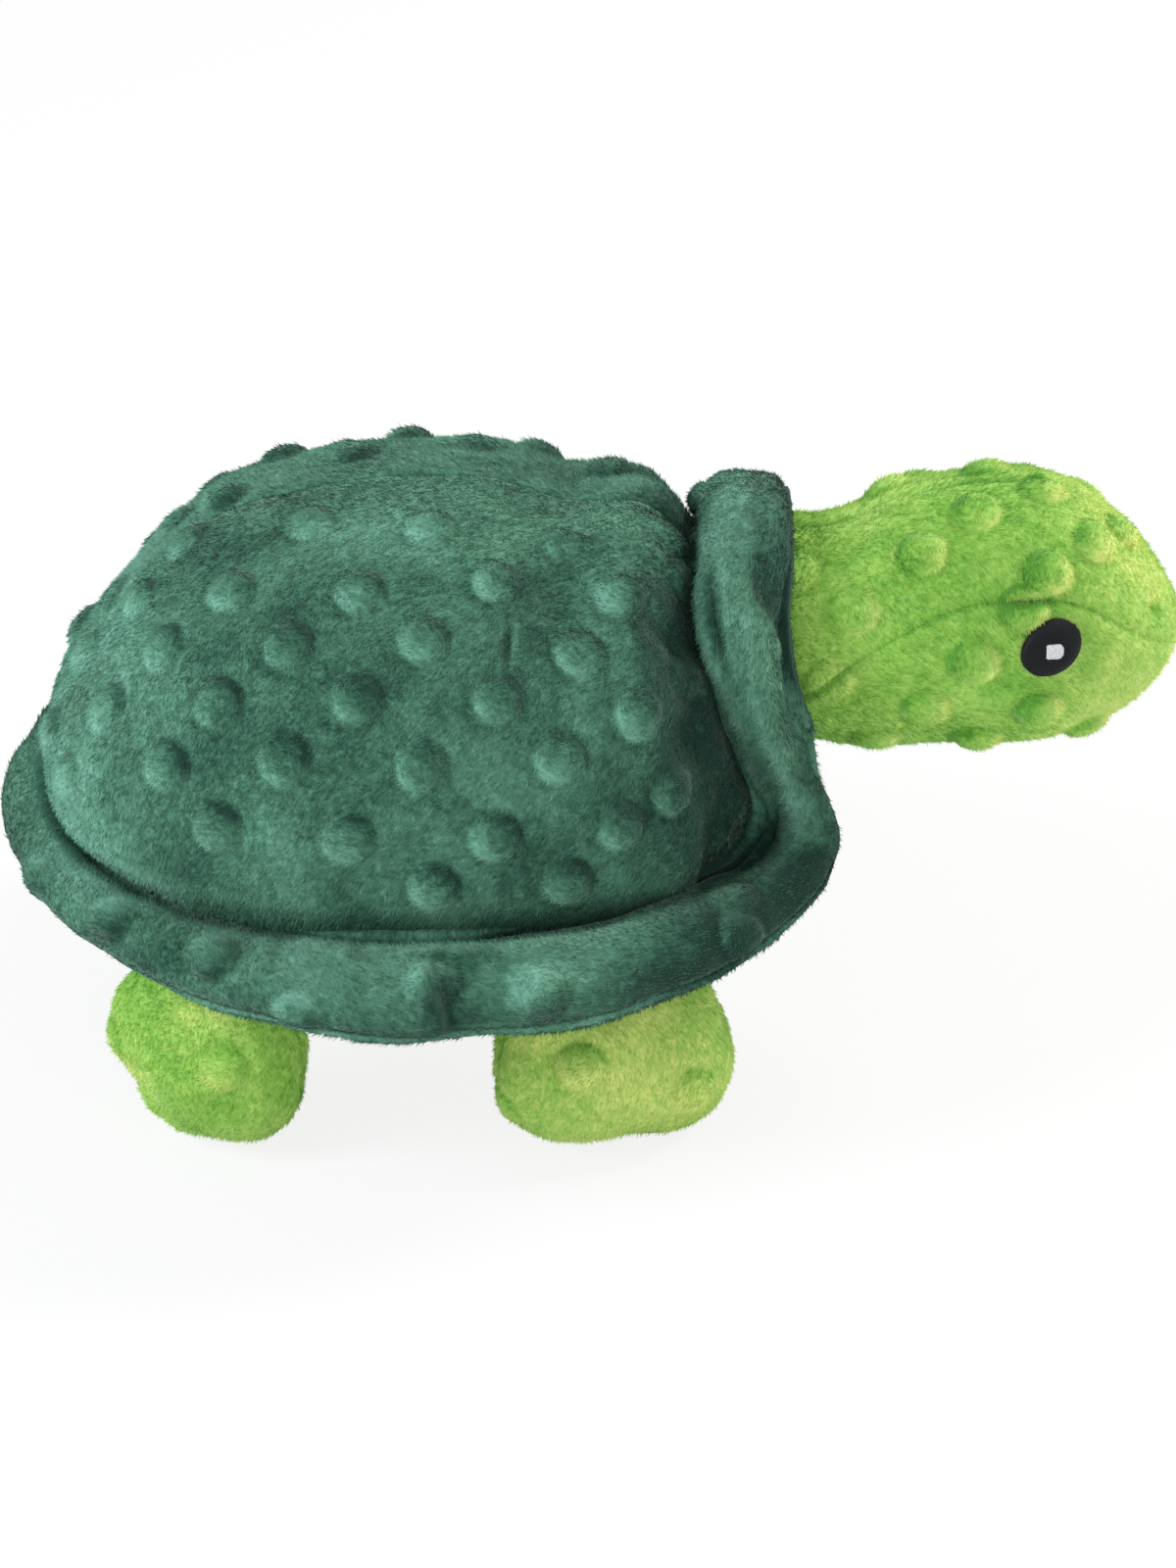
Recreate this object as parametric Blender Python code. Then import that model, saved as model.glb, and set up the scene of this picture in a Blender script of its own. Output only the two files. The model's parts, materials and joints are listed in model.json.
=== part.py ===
"""Plush turtle, sewn from dimple plush and stuffed with fibre, standing on four stub legs.

Metres, +Z up, +X towards the nose, +Y to the turtle's left. The soles stand on z = 0, and the
origin is the middle of the toy's box on that floor.

Lengths are worked in the sewing frame first: x = 0 is the middle of the shell. Everything hangs
from one empty, which moves the toy so that its box is centred on the origin.
"""

import math

import bmesh
import bpy
from mathutils import Matrix, Vector

# Cloth and sewing
FABRIC = 0.0018
SEAM_GAP = 0.0004
FILL_GAP = 0.0003
TOUCH_GAP = 0.0003
CUT_OVERRUN = 0.03

# Raised dots of the cloth: low domes, whose root is sunk in the cloth by a share of its thickness
DOT_RADIUS = 0.0048
DOT_RISE = 0.0017
DOT_SHOULDER_SHARE = 0.70
DOT_ROOT_SHARE = 0.60
DOT_SIDES = 8

# Body: a soft pebble, widest at the seam where shell, brim and belly meet
SEAM_HEIGHT = 0.050
SHELL_REAR_LENGTH = 0.067
SHELL_FRONT_LENGTH = 0.072
SHELL_HALF_WIDTH = 0.059
SHELL_RISE = 0.0685
BELLY_DROP = 0.0165
SHELL_LEAN = 0.005
BODY_FULLNESS = 2.3
BODY_SEGMENTS = 32
BODY_RINGS = 16

# Front edge of the shell, where the chest begins: how far behind the body's front it is sewn
CHEST_EDGE_LOW_SETBACK = 0.0035
CHEST_EDGE_HIGH_SETBACK = 0.0095

# Dots of the shell, in degrees: from its rear over the top to its front, and down from the top seam.
# Rows run round it, and every second row starts half a step on. Left of the seam all are shifted.
SHELL_DOT_ROW_DEGREES = (15.0, 28.0, 41.0, 51.0, 61.0, 72.0)
SHELL_DOT_FIRST_DEGREES = 50.0
SHELL_DOT_STEP_DEGREES = 20.0
SHELL_DOTS_PER_ROW = 5
REAR_DOT_DEGREES = ((29.0, 26.0), (42.0, 45.0), (20.0, 38.0), (33.0, 61.0), (36.0, 10.0))
LEFT_DOT_SHIFT_DEGREES = (6.0, -2.0)

# Brim: a stuffed flap sewn round the shell, which rises into a collar over the neck
BRIM_HALF_WIDTH = 0.0115
BRIM_HALF_THICKNESS = 0.0068
BRIM_TIP_THINNING_SHARE = 0.25
BRIM_STEPS_PER_HALF = 20
BRIM_SECTION_SIDES = 12
BRIM_FILL_GAP = 0.0006
# Half of the brim, from the middle of the rear round the left side to the top of the collar. Each
# row: x as a share of the shell's rear or front length, y as a share of its half width, height over
# the seam as a share of its rise, heading and dip of the flap in degrees, and the flap's width and
# thickness as shares of the brim's.
BRIM_STATION_SHARES = (
    (-0.995, 0.000, 0.000, 180.0, -10.0, 1.00, 1.00),
    (-0.895, 0.545, -0.010, 150.0, -16.0, 1.00, 1.00),
    (-0.540, 0.935, -0.030, 120.0, -27.0, 1.00, 1.04),
    (0.000, 1.110, -0.050, 90.0, -34.0, 1.02, 1.04),
    (0.502, 0.975, -0.040, 60.0, -32.0, 1.00, 1.02),
    (0.800, 0.745, 0.000, 38.0, -22.0, 1.00, 0.98),
    (0.972, 0.560, 0.090, 22.0, -8.0, 0.98, 0.90),
    (0.972, 0.490, 0.270, 10.0, 4.0, 0.90, 0.82),
    (0.903, 0.490, 0.490, 5.0, 6.0, 0.86, 0.78),
    (0.861, 0.385, 0.720, 3.0, 8.0, 0.86, 0.74),
    (0.864, 0.215, 0.840, 1.0, 10.0, 0.86, 0.74),
    (0.866, 0.000, 0.880, 0.0, 10.0, 0.86, 0.74),
)

# Neck: a ball-shaped wad of fibre at the neck seam, which the head turns and nods about
NECK_SETBACK = 0.0005
NECK_RISE = 0.0340
NECK_RADIUS = 0.0222
NECK_BALL_DEGREES = (142.0, 122.0, 100.0, 80.0)
NECK_POCKET_FLARE = 0.0035
COLLAR_CLEARANCE = 0.0016
NECK_SEGMENTS = 20
POCKET_SEGMENTS = 28

# Head: a blunt bulb on the neck ball
HEAD_LENGTH = 0.0725
HEAD_HALF_HEIGHT = 0.0270
HEAD_WIDTH_SHARE = 0.95
HEAD_SIDES = 20
# Rows: distance from the neck ball's middle as a share of HEAD_LENGTH, half height as a share of
# HEAD_HALF_HEIGHT, rise of the middle as a share of HEAD_HALF_HEIGHT.
HEAD_STATION_SHARES = (
    (0.130, 0.860, 0.010),
    (0.240, 0.945, 0.095),
    (0.390, 0.985, 0.160),
    (0.545, 1.000, 0.178),
    (0.695, 0.920, 0.182),
    (0.825, 0.745, 0.160),
    (0.915, 0.530, 0.128),
    (0.972, 0.280, 0.100),
)
HEAD_TIP_RISE_SHARE = 0.085
# Side seam of the head, from the neck over the cheek to the mouth, in the same shares: along the
# head, and height over the neck ball's middle.
HEAD_SEAM_SHARES = (
    (-0.40, -0.55),
    (-0.02, -0.20),
    (0.20, 0.28),
    (0.38, 0.56),
    (0.53, 0.63),
    (0.69, 0.58),
    (0.84, 0.30),
    (0.96, 0.04),
    (1.10, -0.15),
)

# Dots of the head that stand clear of its seams and of the collar: how far along it, as a share of
# HEAD_LENGTH, and degrees down from the top. Those past CHEEK_DEGREES are the chin panel's.
CHEEK_DEGREES = 70.0
CHEEK_STEP_SHARE = 0.01
RIGHT_TOP_DOT_SHARES = (0.435, 21.0)
LEFT_TOP_DOT_SHARES = (0.469, 15.0)
SIDE_DOT_SHARES = (
    (0.749, 32.0),
    (0.614, 51.0),
    (0.427, 88.0),
    (0.602, 114.0),
    (0.452, 137.0),
    (0.742, 146.0),
)

# Eyes: raised stitching on the side of the head
EYE_RADIUS = 0.0058
EYE_RAISE = 0.0008
EYE_ALONG_SHARE = 0.560
EYE_HEIGHT_SHARE = 0.15
EYE_HEADING = 78.0
EYE_PITCH = 8.0
EYE_SIDES = 20
GLINT_RADIUS = 0.0014
GLINT_RAISE = 0.0006
GLINT_SIDES = 8
GLINT_FORWARD = 0.0004

# Legs: padded paddles, each hinged along the seam that joins it to the belly
LEG_HALF_WIDTH = 0.0225
LEG_HALF_THICKNESS = 0.0135
LEG_ROOT_RADIUS = 0.0025
LEG_ROOT_STEPS = 3
LEG_SIDES = 12
LEG_FULLNESS = 2.2
LEG_FILL_GAP = 0.0005
# Rows: depth under the hinge as a share of the leg's length, half width as a share of
# LEG_HALF_WIDTH, half thickness as a share of LEG_HALF_THICKNESS, and how much of the foot's lean
# is reached.
LEG_STATION_SHARES = (
    (0.13, 0.78, 0.45, 0.05),
    (0.30, 0.93, 0.80, 0.20),
    (0.50, 1.00, 1.00, 0.45),
    (0.70, 0.98, 0.98, 0.72),
    (0.86, 0.86, 0.80, 0.90),
    (0.96, 0.64, 0.52, 0.98),
)
LEG_ROOT_WIDTH_SHARE = 0.66
LEG_SOLE_WIDTH_SHARE = 0.44
LEG_SOLE_THICKNESS_SHARE = 0.34
LEG_SEAM_GAP = 0.0010
# Where the hinge of each pair lies: x as a share of the shell's length on that side of its middle,
# y as a share of its half width.
FRONT_HINGE_SHARES = (0.500, 0.705)
REAR_HINGE_SHARES = (-0.530, 0.690)
FRONT_LEG_WIDTH_SHARE = 1.0
REAR_LEG_WIDTH_SHARE = 0.92
# How far each pair's feet lean along the hinge towards the nose
FRONT_FOOT_LEAN = 0.001
REAR_FOOT_LEAN = -0.001
# Where the outer side of each pair faces, in degrees from the nose
FRONT_LEG_HEADING = 70.0
REAR_LEG_HEADING = 112.0

PLUSH_ROUGHNESS = 0.95
FIBRE_ROUGHNESS = 1.0
THREAD_ROUGHNESS = 0.6
SHELL_GREEN = (0.070, 0.226, 0.150, 1.0)
BELLY_LIME = (0.262, 0.546, 0.075, 1.0)
FIBRE_WHITE = (0.82, 0.82, 0.80, 1.0)
THREAD_BLACK = (0.012, 0.012, 0.014, 1.0)
THREAD_WHITE = (0.80, 0.81, 0.83, 1.0)

NECK = Vector((SHELL_FRONT_LENGTH - NECK_SETBACK, 0, SEAM_HEIGHT + NECK_RISE))


def clear_scene():
    for obj in list(bpy.data.objects):
        bpy.data.objects.remove(obj)


def new_collection(name):
    collection = bpy.data.collections.new(name)
    bpy.context.scene.collection.children.link(collection)
    return collection


def material(name, colour, roughness):
    made = bpy.data.materials.new(name)
    made.use_nodes = True
    shader = made.node_tree.nodes["Principled BSDF"]
    shader.inputs["Base Color"].default_value = colour
    shader.inputs["Roughness"].default_value = roughness
    shader.inputs["Metallic"].default_value = 0.0
    return made


def empty(name, location, parent):
    made = bpy.data.objects.new(name, None)
    made.location = location
    made.parent = parent
    parts.objects.link(made)
    return made


def place(obj, parent):
    """Hangs obj on parent with its points still in the sewing frame."""
    obj.parent = parent
    obj.matrix_parent_inverse = Matrix.Translation(-offset_of(parent))
    return obj


def offset_of(parent):
    """Where an empty stands in the sewing frame."""
    offset = Vector((0, 0, 0))
    while parent is not None and parent is not toy:
        offset += parent.location
        parent = parent.parent
    return offset


def add(name, mesh, finish, parent):
    obj = bpy.data.objects.new(name, mesh)
    mesh.materials.append(finish)
    mesh.shade_smooth()
    mesh.set_sharp_from_angle(angle=math.radians(50))
    parts.objects.link(obj)
    return place(obj, parent)


def cutter(name, mesh, parent=None):
    obj = bpy.data.objects.new(name, mesh)
    obj.hide_render = True
    obj.display_type = "WIRE"
    cutters.objects.link(obj)
    return place(obj, parent or toy)


def combine(obj, other, operation):
    modifier = obj.modifiers.new(operation.lower(), "BOOLEAN")
    modifier.operation = operation
    modifier.object = other
    modifier.solver = "EXACT"


def mesh_of(work, name):
    mesh = bpy.data.meshes.new(name)
    work.to_mesh(mesh)
    work.free()
    return mesh


def loft(name, rings, loop=False, first=None, last=None):
    """A skin through rings of points. first and last close it at a point or, if True, with a lid."""
    work = bmesh.new()
    rows = [[work.verts.new(point) for point in ring] for ring in rings]
    pairs = list(zip(rows, rows[1:]))
    if loop:
        pairs.append((rows[-1], rows[0]))
    for low, high in pairs:
        for k in range(len(low)):
            after = (k + 1) % len(low)
            work.faces.new((low[k], low[after], high[after], high[k]))
    for end, row, step in ((first, rows[0], -1), (last, rows[-1], 1)):
        if end is True:
            work.faces.new(row[::step])
        elif end is not None:
            tip = work.verts.new(end)
            for k in range(len(row)):
                edge = (row[k], row[(k + 1) % len(row)])[::step]
                work.faces.new((*edge, tip))
    bmesh.ops.recalc_face_normals(work, faces=work.faces)
    bmesh.ops.triangulate(work, faces=work.faces, quad_method="SHORT_EDGE")
    return mesh_of(work, name)


def facet_share(segments):
    """How near to its middle a faceted ball's flats come, as a share of its radius."""
    return math.cos(math.pi / segments) ** 2


def ball_mesh(name, centre, radius, segments):
    work = bmesh.new()
    bmesh.ops.create_uvsphere(work, u_segments=segments, v_segments=segments // 2, radius=radius)
    bmesh.ops.translate(work, verts=work.verts, vec=centre)
    return mesh_of(work, name)


def room_mesh(name, centre, radius, segments):
    """A faceted ball that a ball of the given radius turns in without touching."""
    return ball_mesh(name, centre, radius / facet_share(segments), segments)


def box_mesh(name, low, high):
    work = bmesh.new()
    bmesh.ops.create_cube(work, size=1)
    for vert in work.verts:
        vert.co = [(b + a) / 2 + c * (b - a) for a, b, c in zip(low, high, vert.co)]
    return mesh_of(work, name)


def slab_mesh(name, outline, half_width):
    """A slab across the toy whose side view is the outline, given as x and z."""
    curve = bpy.data.curves.new(name, "CURVE")
    curve.dimensions = "2D"
    curve.fill_mode = "BOTH"
    curve.extrude = half_width
    spline = curve.splines.new("POLY")
    spline.points.add(len(outline) - 1)
    for point, (x, z) in zip(spline.points, outline):
        point.co = (x, z, 0, 1)
    spline.use_cyclic_u = True
    guide = bpy.data.objects.new(name, curve)
    cutters.objects.link(guide)
    bpy.context.view_layer.update()
    mesh = bpy.data.meshes.new_from_object(guide.evaluated_get(bpy.context.evaluated_depsgraph_get()))
    bpy.data.objects.remove(guide)
    work = bmesh.new()
    work.from_mesh(mesh)
    bmesh.ops.remove_doubles(work, verts=work.verts, dist=TOUCH_GAP / 10)
    bmesh.ops.rotate(work, verts=work.verts, matrix=Matrix.Rotation(math.pi / 2, 3, "X"))
    bmesh.ops.recalc_face_normals(work, faces=work.faces)
    return mesh_of(work, name)


def oval(sides, half_width, half_height, fullness):
    """Points round a full oval, from its right side anticlockwise, as (across, up)."""
    points = []
    for k in range(sides):
        turn = 2 * math.pi * k / sides
        c, s = math.cos(turn), math.sin(turn)
        reach = (abs(c) ** fullness + abs(s) ** fullness) ** (-1 / fullness)
        points.append((half_width * reach * c, half_height * reach * s))
    return points


def smooth_rows(rows, steps):
    """Catmull-Rom through rows of numbers, whose first and last rows only steer the ends."""
    made = []
    spans = len(rows) - 3
    for i in range(steps + 1):
        place_on = spans * i / steps
        k = min(int(place_on), spans - 1)
        t = place_on - k
        a, b, c, d = rows[k : k + 4]
        made.append(
            [
                (2 * q + (r - p) * t + (2 * p - 5 * q + 4 * r - s) * t**2 + (3 * q - p - 3 * r + s) * t**3) / 2
                for p, q, r, s in zip(a, b, c, d)
            ]
        )
    return made


def dots_mesh(name, places):
    """Low domes on the cloth, one at each place: a point of its face, and a way out of it."""
    shoulder = DOT_SHOULDER_SHARE
    rings = []
    for radius, height in (
        (DOT_RADIUS, -DOT_ROOT_SHARE * FABRIC),
        (DOT_RADIUS, 0),
        (shoulder * DOT_RADIUS, shoulder * DOT_RISE),
    ):
        rings.append([Vector((x, y, height)) for x, y in oval(DOT_SIDES, radius, radius, 2)])
    dot = loft(f"{name}_dot", rings, first=True, last=Vector((0, 0, DOT_RISE)))
    work = bmesh.new()
    for point, out in places:
        one = dot.copy()
        one.transform(Matrix.Translation(point) @ out.to_track_quat("Z", "Y").to_matrix().to_4x4())
        work.from_mesh(one)
    return mesh_of(work, name)


def shell_length(x):
    """Length of the shell on the side of its middle that x lies on."""
    return SHELL_FRONT_LENGTH if x > 0 else SHELL_REAR_LENGTH


def body_point(unit, inset):
    """Point of the body's face in a direction from its middle, inset from the cloth's outer face."""
    full = sum(abs(c) ** BODY_FULLNESS for c in unit) ** (-1 / BODY_FULLNESS)
    height = SHELL_RISE if unit.z > 0 else BELLY_DROP
    return Vector(
        (
            unit.x * full * (shell_length(unit.x) - inset) + SHELL_LEAN * max(unit.z * full, 0),
            unit.y * full * (SHELL_HALF_WIDTH - inset),
            SEAM_HEIGHT + unit.z * full * (height - inset),
        )
    )


def body_mesh(name, inset):
    """The pebble of shell and belly, inset from the cloth's outer face. Outset is a negative inset."""
    work = bmesh.new()
    bmesh.ops.create_uvsphere(work, u_segments=BODY_SEGMENTS, v_segments=BODY_RINGS, radius=1)
    for vert in work.verts:
        vert.co = body_point(vert.co.copy(), inset)
    return mesh_of(work, name)


def shell_place(along, down, sign):
    """Where a dot stands on the shell, from its degrees, and the way out of the cloth there."""

    def at(a, b):
        a, b = math.radians(a), math.radians(b)
        across = sign * math.sin(a) * math.sin(b)
        return body_point(Vector((-math.cos(a), across, math.sin(a) * math.cos(b))), 0)

    point = at(along, down)
    out = (at(along + 1, down) - point).cross(at(along, down + 1) - point).normalized()
    return point, out * math.copysign(1, out.z)


def shell_dots(side):
    """Places of the dots on one side of the shell that stand clear of the neck's pocket and the brim."""
    degrees = list(REAR_DOT_DEGREES)
    for row, down in enumerate(SHELL_DOT_ROW_DEGREES):
        for k in range(SHELL_DOTS_PER_ROW):
            along = SHELL_DOT_FIRST_DEGREES + SHELL_DOT_STEP_DEGREES * (k + row % 2 / 2)
            degrees.append((along, down))
    shift = LEFT_DOT_SHIFT_DEGREES if side == "left" else (0, 0)
    sign = 1 if side == "left" else -1
    covers = [neck_pocket()] + [(station[0], station[3]) for station in brim_stations()]
    kept = []
    for along, down in degrees:
        point, out = shell_place(along + shift[0], down + shift[1], sign)
        on_left = Vector((point.x, abs(point.y), point.z))
        if all((on_left - middle).length > reach + DOT_RADIUS for middle, reach in covers):
            kept.append((point, out))
    return kept


def shell_side_view(grow):
    """Side view of what the shell covers, above the seam and behind the chest, grown at its edge."""
    base = SEAM_HEIGHT - grow
    top = SEAM_HEIGHT + SHELL_RISE + CUT_OVERRUN
    rear = -SHELL_REAR_LENGTH - CUT_OVERRUN
    lean = (CHEST_EDGE_LOW_SETBACK - CHEST_EDGE_HIGH_SETBACK) / SHELL_RISE
    front = SHELL_FRONT_LENGTH - CHEST_EDGE_LOW_SETBACK + grow
    return (
        (rear, base),
        (front - lean * grow, base),
        (front + lean * (top - SEAM_HEIGHT), top),
        (rear, top),
    )


def neck_pocket():
    """Middle and radius of the pocket that the neck turns in.

    It flares towards the nose, so that the chin clears the chest when the head nods.
    """
    return NECK + Vector((NECK_POCKET_FLARE, 0, 0)), NECK_RADIUS + TOUCH_GAP + NECK_POCKET_FLARE


def make_body():
    """Shell panels, belly panel and the fibre inside them."""
    half_width = SHELL_HALF_WIDTH + CUT_OVERRUN
    above = cutter("above_seam", slab_mesh("above_seam", shell_side_view(-SEAM_GAP / 2), half_width))
    above_wide = cutter("above_gap", slab_mesh("above_gap", shell_side_view(SEAM_GAP / 2), half_width))
    pocket = cutter("neck_pocket", room_mesh("neck_pocket", *neck_pocket(), POCKET_SEGMENTS))
    room = cutter("body_room", body_mesh("body_room", FABRIC))
    for side, half in half_spaces.items():
        panel = add(f"shell_panel_{side}", body_mesh(f"shell_panel_{side}", 0), green, toy)
        combine(panel, above, "INTERSECT")
        combine(panel, half, "INTERSECT")
        combine(panel, room, "DIFFERENCE")
        combine(panel, pocket, "DIFFERENCE")
        name = f"shell_dots_{side}"
        combine(panel, cutter(name, dots_mesh(name, shell_dots(side))), "UNION")
    belly = add("belly_panel", body_mesh("belly_panel", 0), lime, toy)
    combine(belly, above_wide, "DIFFERENCE")
    combine(belly, room, "DIFFERENCE")
    combine(belly, pocket, "DIFFERENCE")
    fill = add("body_fill", body_mesh("body_fill", FABRIC + FILL_GAP), fibre, toy)
    combine(fill, pocket, "DIFFERENCE")


def brim_stations():
    """Middle, outward and upward directions, half width and half thickness along half the brim."""
    rows = [list(row) for row in BRIM_STATION_SHARES]
    before = list(rows[1])
    before[1], before[3] = -before[1], 2 * rows[0][3] - before[3]
    after = list(rows[-2])
    after[1], after[3] = -after[1], -after[3]
    path = smooth_rows([before, *rows, after], BRIM_STEPS_PER_HALF)
    middles = [
        Vector((x * shell_length(x), y * SHELL_HALF_WIDTH, SEAM_HEIGHT + z * SHELL_RISE))
        for x, y, z, *_ in path
    ]
    stations = []
    for k, row in enumerate(path):
        heading, dip = math.radians(row[3]), math.radians(row[4])
        out = Vector(
            (math.cos(heading) * math.cos(dip), math.sin(heading) * math.cos(dip), math.sin(dip))
        )
        if k in (0, len(path) - 1):
            along = Vector((0, 1 if k == 0 else -1, 0))
        else:
            along = (middles[k + 1] - middles[k - 1]).normalized()
        up = along.cross(out).normalized()
        stations.append((middles[k], out, up, row[5] * BRIM_HALF_WIDTH, row[6] * BRIM_HALF_THICKNESS))
    return stations


def clear_of_neck(point, radius):
    """The point itself, or where it meets the ball in which the neck turns."""
    away = point - NECK
    return NECK + away.normalized() * max(away.length, radius)


def other_half(half):
    """The mirrored stations of the other side, so that both together run right round the shell."""
    return [[Vector((p.x, -p.y, p.z)) for p in ring] for ring in half[-2:0:-1]]


def brim_rings(turns, inset):
    """Rings of the brim's section right round the shell, at the given turns of the section."""
    half = []
    for middle, out, up, width, thickness in brim_stations():
        ring = []
        for turn in turns:
            c, s = math.cos(turn), math.sin(turn)
            thin = 1 - BRIM_TIP_THINNING_SHARE * c
            point = middle + out * (width - inset) * c + up * (thickness * thin - inset) * s
            ring.append(clear_of_neck(point, NECK_RADIUS + COLLAR_CLEARANCE + inset))
        half.append(ring)
    return half + other_half(half)


def section_turns(start, end, steps):
    return [start + (end - start) * k / steps for k in range(steps + 1)]


def brim_panel_mesh(name, start):
    """The cloth over one half turn of the brim's section: its outer face, then its inner face."""
    gap_turn = SEAM_GAP / 2 / (BRIM_HALF_THICKNESS * (1 - BRIM_TIP_THINNING_SHARE))
    steps = section_turns(start, start + math.pi, BRIM_SECTION_SIDES // 2)
    turns = [start + gap_turn, *steps[1:-1], start + math.pi - gap_turn]
    outer, inner = brim_rings(turns, 0), brim_rings(turns[::-1], FABRIC)
    return loft(name, [near + far for near, far in zip(outer, inner)], loop=True)


def make_brim():
    """Upper and lower cloth of the brim, and the thin roll of fibre between them."""
    around_body = cutter("around_body", body_mesh("around_body", -TOUCH_GAP))
    for name, start in (("brim_upper_panel", 0), ("brim_lower_panel", math.pi)):
        combine(add(name, brim_panel_mesh(name, start), green, toy), around_body, "DIFFERENCE")
    turns = section_turns(0, 2 * math.pi, BRIM_SECTION_SIDES)[:-1]
    roll = loft("brim_fill", brim_rings(turns, FABRIC + BRIM_FILL_GAP), loop=True)
    combine(add("brim_fill", roll, fibre, toy), around_body, "DIFFERENCE")


def head_rings(inset, with_ball):
    """Rings of the head from the neck ball forward, and its tip. An inset one runs out at the neck."""
    rings = []
    if with_ball:
        for degrees in NECK_BALL_DEGREES:
            turn = math.radians(degrees)
            radius = NECK_RADIUS - inset
            across = oval(HEAD_SIDES, radius * math.sin(turn), radius * math.sin(turn), 2)
            rings.append([NECK + Vector((radius * math.cos(turn), y, z)) for y, z in across])
        if inset > 0:
            rings.insert(0, [point - Vector((CUT_OVERRUN, 0, 0)) for point in rings[0]])
    for along, high, rise in HEAD_STATION_SHARES:
        half_height = high * HEAD_HALF_HEIGHT - inset
        half_width = half_height * HEAD_WIDTH_SHARE
        middle = NECK + Vector((along * HEAD_LENGTH - inset * along, 0, rise * HEAD_HALF_HEIGHT))
        across = oval(HEAD_SIDES, half_width, half_height, 2)
        rings.append([middle + Vector((0, y, z)) for y, z in across])
    tip = NECK + Vector((HEAD_LENGTH - inset, 0, HEAD_TIP_RISE_SHARE * HEAD_HALF_HEIGHT))
    return rings, tip


def head_mesh(name, inset, with_ball):
    rings, tip = head_rings(inset, with_ball)
    return loft(name, rings, first=True, last=tip)


def head_point(along, down, sign):
    """A point of the head: a share of its length along it, and degrees down from its top."""
    k = max(i for i, row in enumerate(HEAD_STATION_SHARES) if row[0] <= along)
    (start, *low), (end, *far) = HEAD_STATION_SHARES[k : k + 2]
    high, rise = (p + (q - p) * (along - start) / (end - start) for p, q in zip(low, far))
    half_height, turn_down = high * HEAD_HALF_HEIGHT, math.radians(down)
    return NECK + Vector(
        (
            along * HEAD_LENGTH,
            sign * half_height * HEAD_WIDTH_SHARE * math.sin(turn_down),
            rise * HEAD_HALF_HEIGHT + half_height * math.cos(turn_down),
        )
    )


def head_dots(side, chin):
    """Places of the dots on one side of the head, above the cheek's seam or below it."""
    sign = 1 if side == "left" else -1
    kept = []
    top_dot = LEFT_TOP_DOT_SHARES if side == "left" else RIGHT_TOP_DOT_SHARES
    for along, down in (top_dot, *SIDE_DOT_SHARES):
        point = head_point(along, down, sign)
        ahead = head_point(along + CHEEK_STEP_SHARE, down, sign) - point
        beside = head_point(along, down + 1, sign) - point
        out = ahead.cross(beside).normalized()
        if chin == (down > CHEEK_DEGREES):
            kept.append((point, out * math.copysign(1, out.y * sign)))
    return kept


def head_side_view(grow):
    """Side view of what the two top panels of the head cover, grown at its edge."""
    top = NECK.z + 2 * HEAD_HALF_HEIGHT + CUT_OVERRUN
    seam = [
        (NECK.x + along * HEAD_LENGTH, NECK.z + high * HEAD_HALF_HEIGHT - grow)
        for along, high in HEAD_SEAM_SHARES
    ]
    return (*seam, (seam[-1][0], top), (seam[0][0], top))


def make_head():
    """Two top panels, one chin panel, the fibre of the head, and the neck's ball of fibre."""
    half_width = HEAD_HALF_HEIGHT + CUT_OVERRUN
    above = cutter("above_cheek", slab_mesh("above_cheek", head_side_view(-SEAM_GAP / 2), half_width))
    above_wide = cutter("above_cheek_gap", slab_mesh("above_cheek_gap", head_side_view(SEAM_GAP / 2), half_width))
    room = cutter("head_room", head_mesh("head_room", FABRIC, True))
    for side, half in half_spaces.items():
        name = f"head_top_panel_{side}"
        panel = add(name, head_mesh(name, 0, True), lime, nod)
        combine(panel, above, "INTERSECT")
        combine(panel, half, "INTERSECT")
        combine(panel, room, "DIFFERENCE")
        name = f"head_dots_{side}"
        combine(panel, cutter(name, dots_mesh(name, head_dots(side, False)), nod), "UNION")
    chin = add("head_chin_panel", head_mesh("head_chin_panel", 0, True), lime, nod)
    combine(chin, above_wide, "DIFFERENCE")
    combine(chin, room, "DIFFERENCE")
    places = head_dots("right", True) + head_dots("left", True)
    combine(chin, cutter("chin_dots", dots_mesh("chin_dots", places), nod), "UNION")
    inset = FABRIC + FILL_GAP
    fill = add("head_fill", head_mesh("head_fill", inset, False), fibre, nod)
    wad_radius = NECK_RADIUS * facet_share(HEAD_SIDES) - inset
    wad_room = cutter("wad_room", room_mesh("wad_room", NECK, wad_radius + TOUCH_GAP, POCKET_SEGMENTS))
    combine(fill, wad_room, "DIFFERENCE")
    add("neck_fill", ball_mesh("neck_fill", NECK, wad_radius, NECK_SEGMENTS), fibre, turn)


def eye_axis(side):
    """Middle of an eye's cylinder inside the head, and the direction the eye looks."""
    sign = -1 if side == "right" else 1
    heading, pitch = math.radians(EYE_HEADING), math.radians(EYE_PITCH)
    look = Vector(
        (math.cos(heading) * math.cos(pitch), sign * math.sin(heading) * math.cos(pitch), math.sin(pitch))
    )
    middle = NECK + Vector((EYE_ALONG_SHARE * HEAD_LENGTH, 0, EYE_HEIGHT_SHARE * HEAD_HALF_HEIGHT))
    return middle, look


def rod_mesh(name, middle, look, radius, sides):
    """A rod that starts inside the head and runs out past its cheek."""
    work = bmesh.new()
    length = HEAD_HALF_HEIGHT + CUT_OVERRUN
    bmesh.ops.create_cone(work, cap_ends=True, segments=sides, radius1=radius, radius2=radius, depth=length)
    turned = look.to_track_quat("Z", "Y").to_matrix().to_4x4()
    bmesh.ops.transform(work, verts=work.verts, matrix=turned)
    bmesh.ops.translate(work, verts=work.verts, vec=middle + look * length / 2)
    return mesh_of(work, name)


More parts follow.
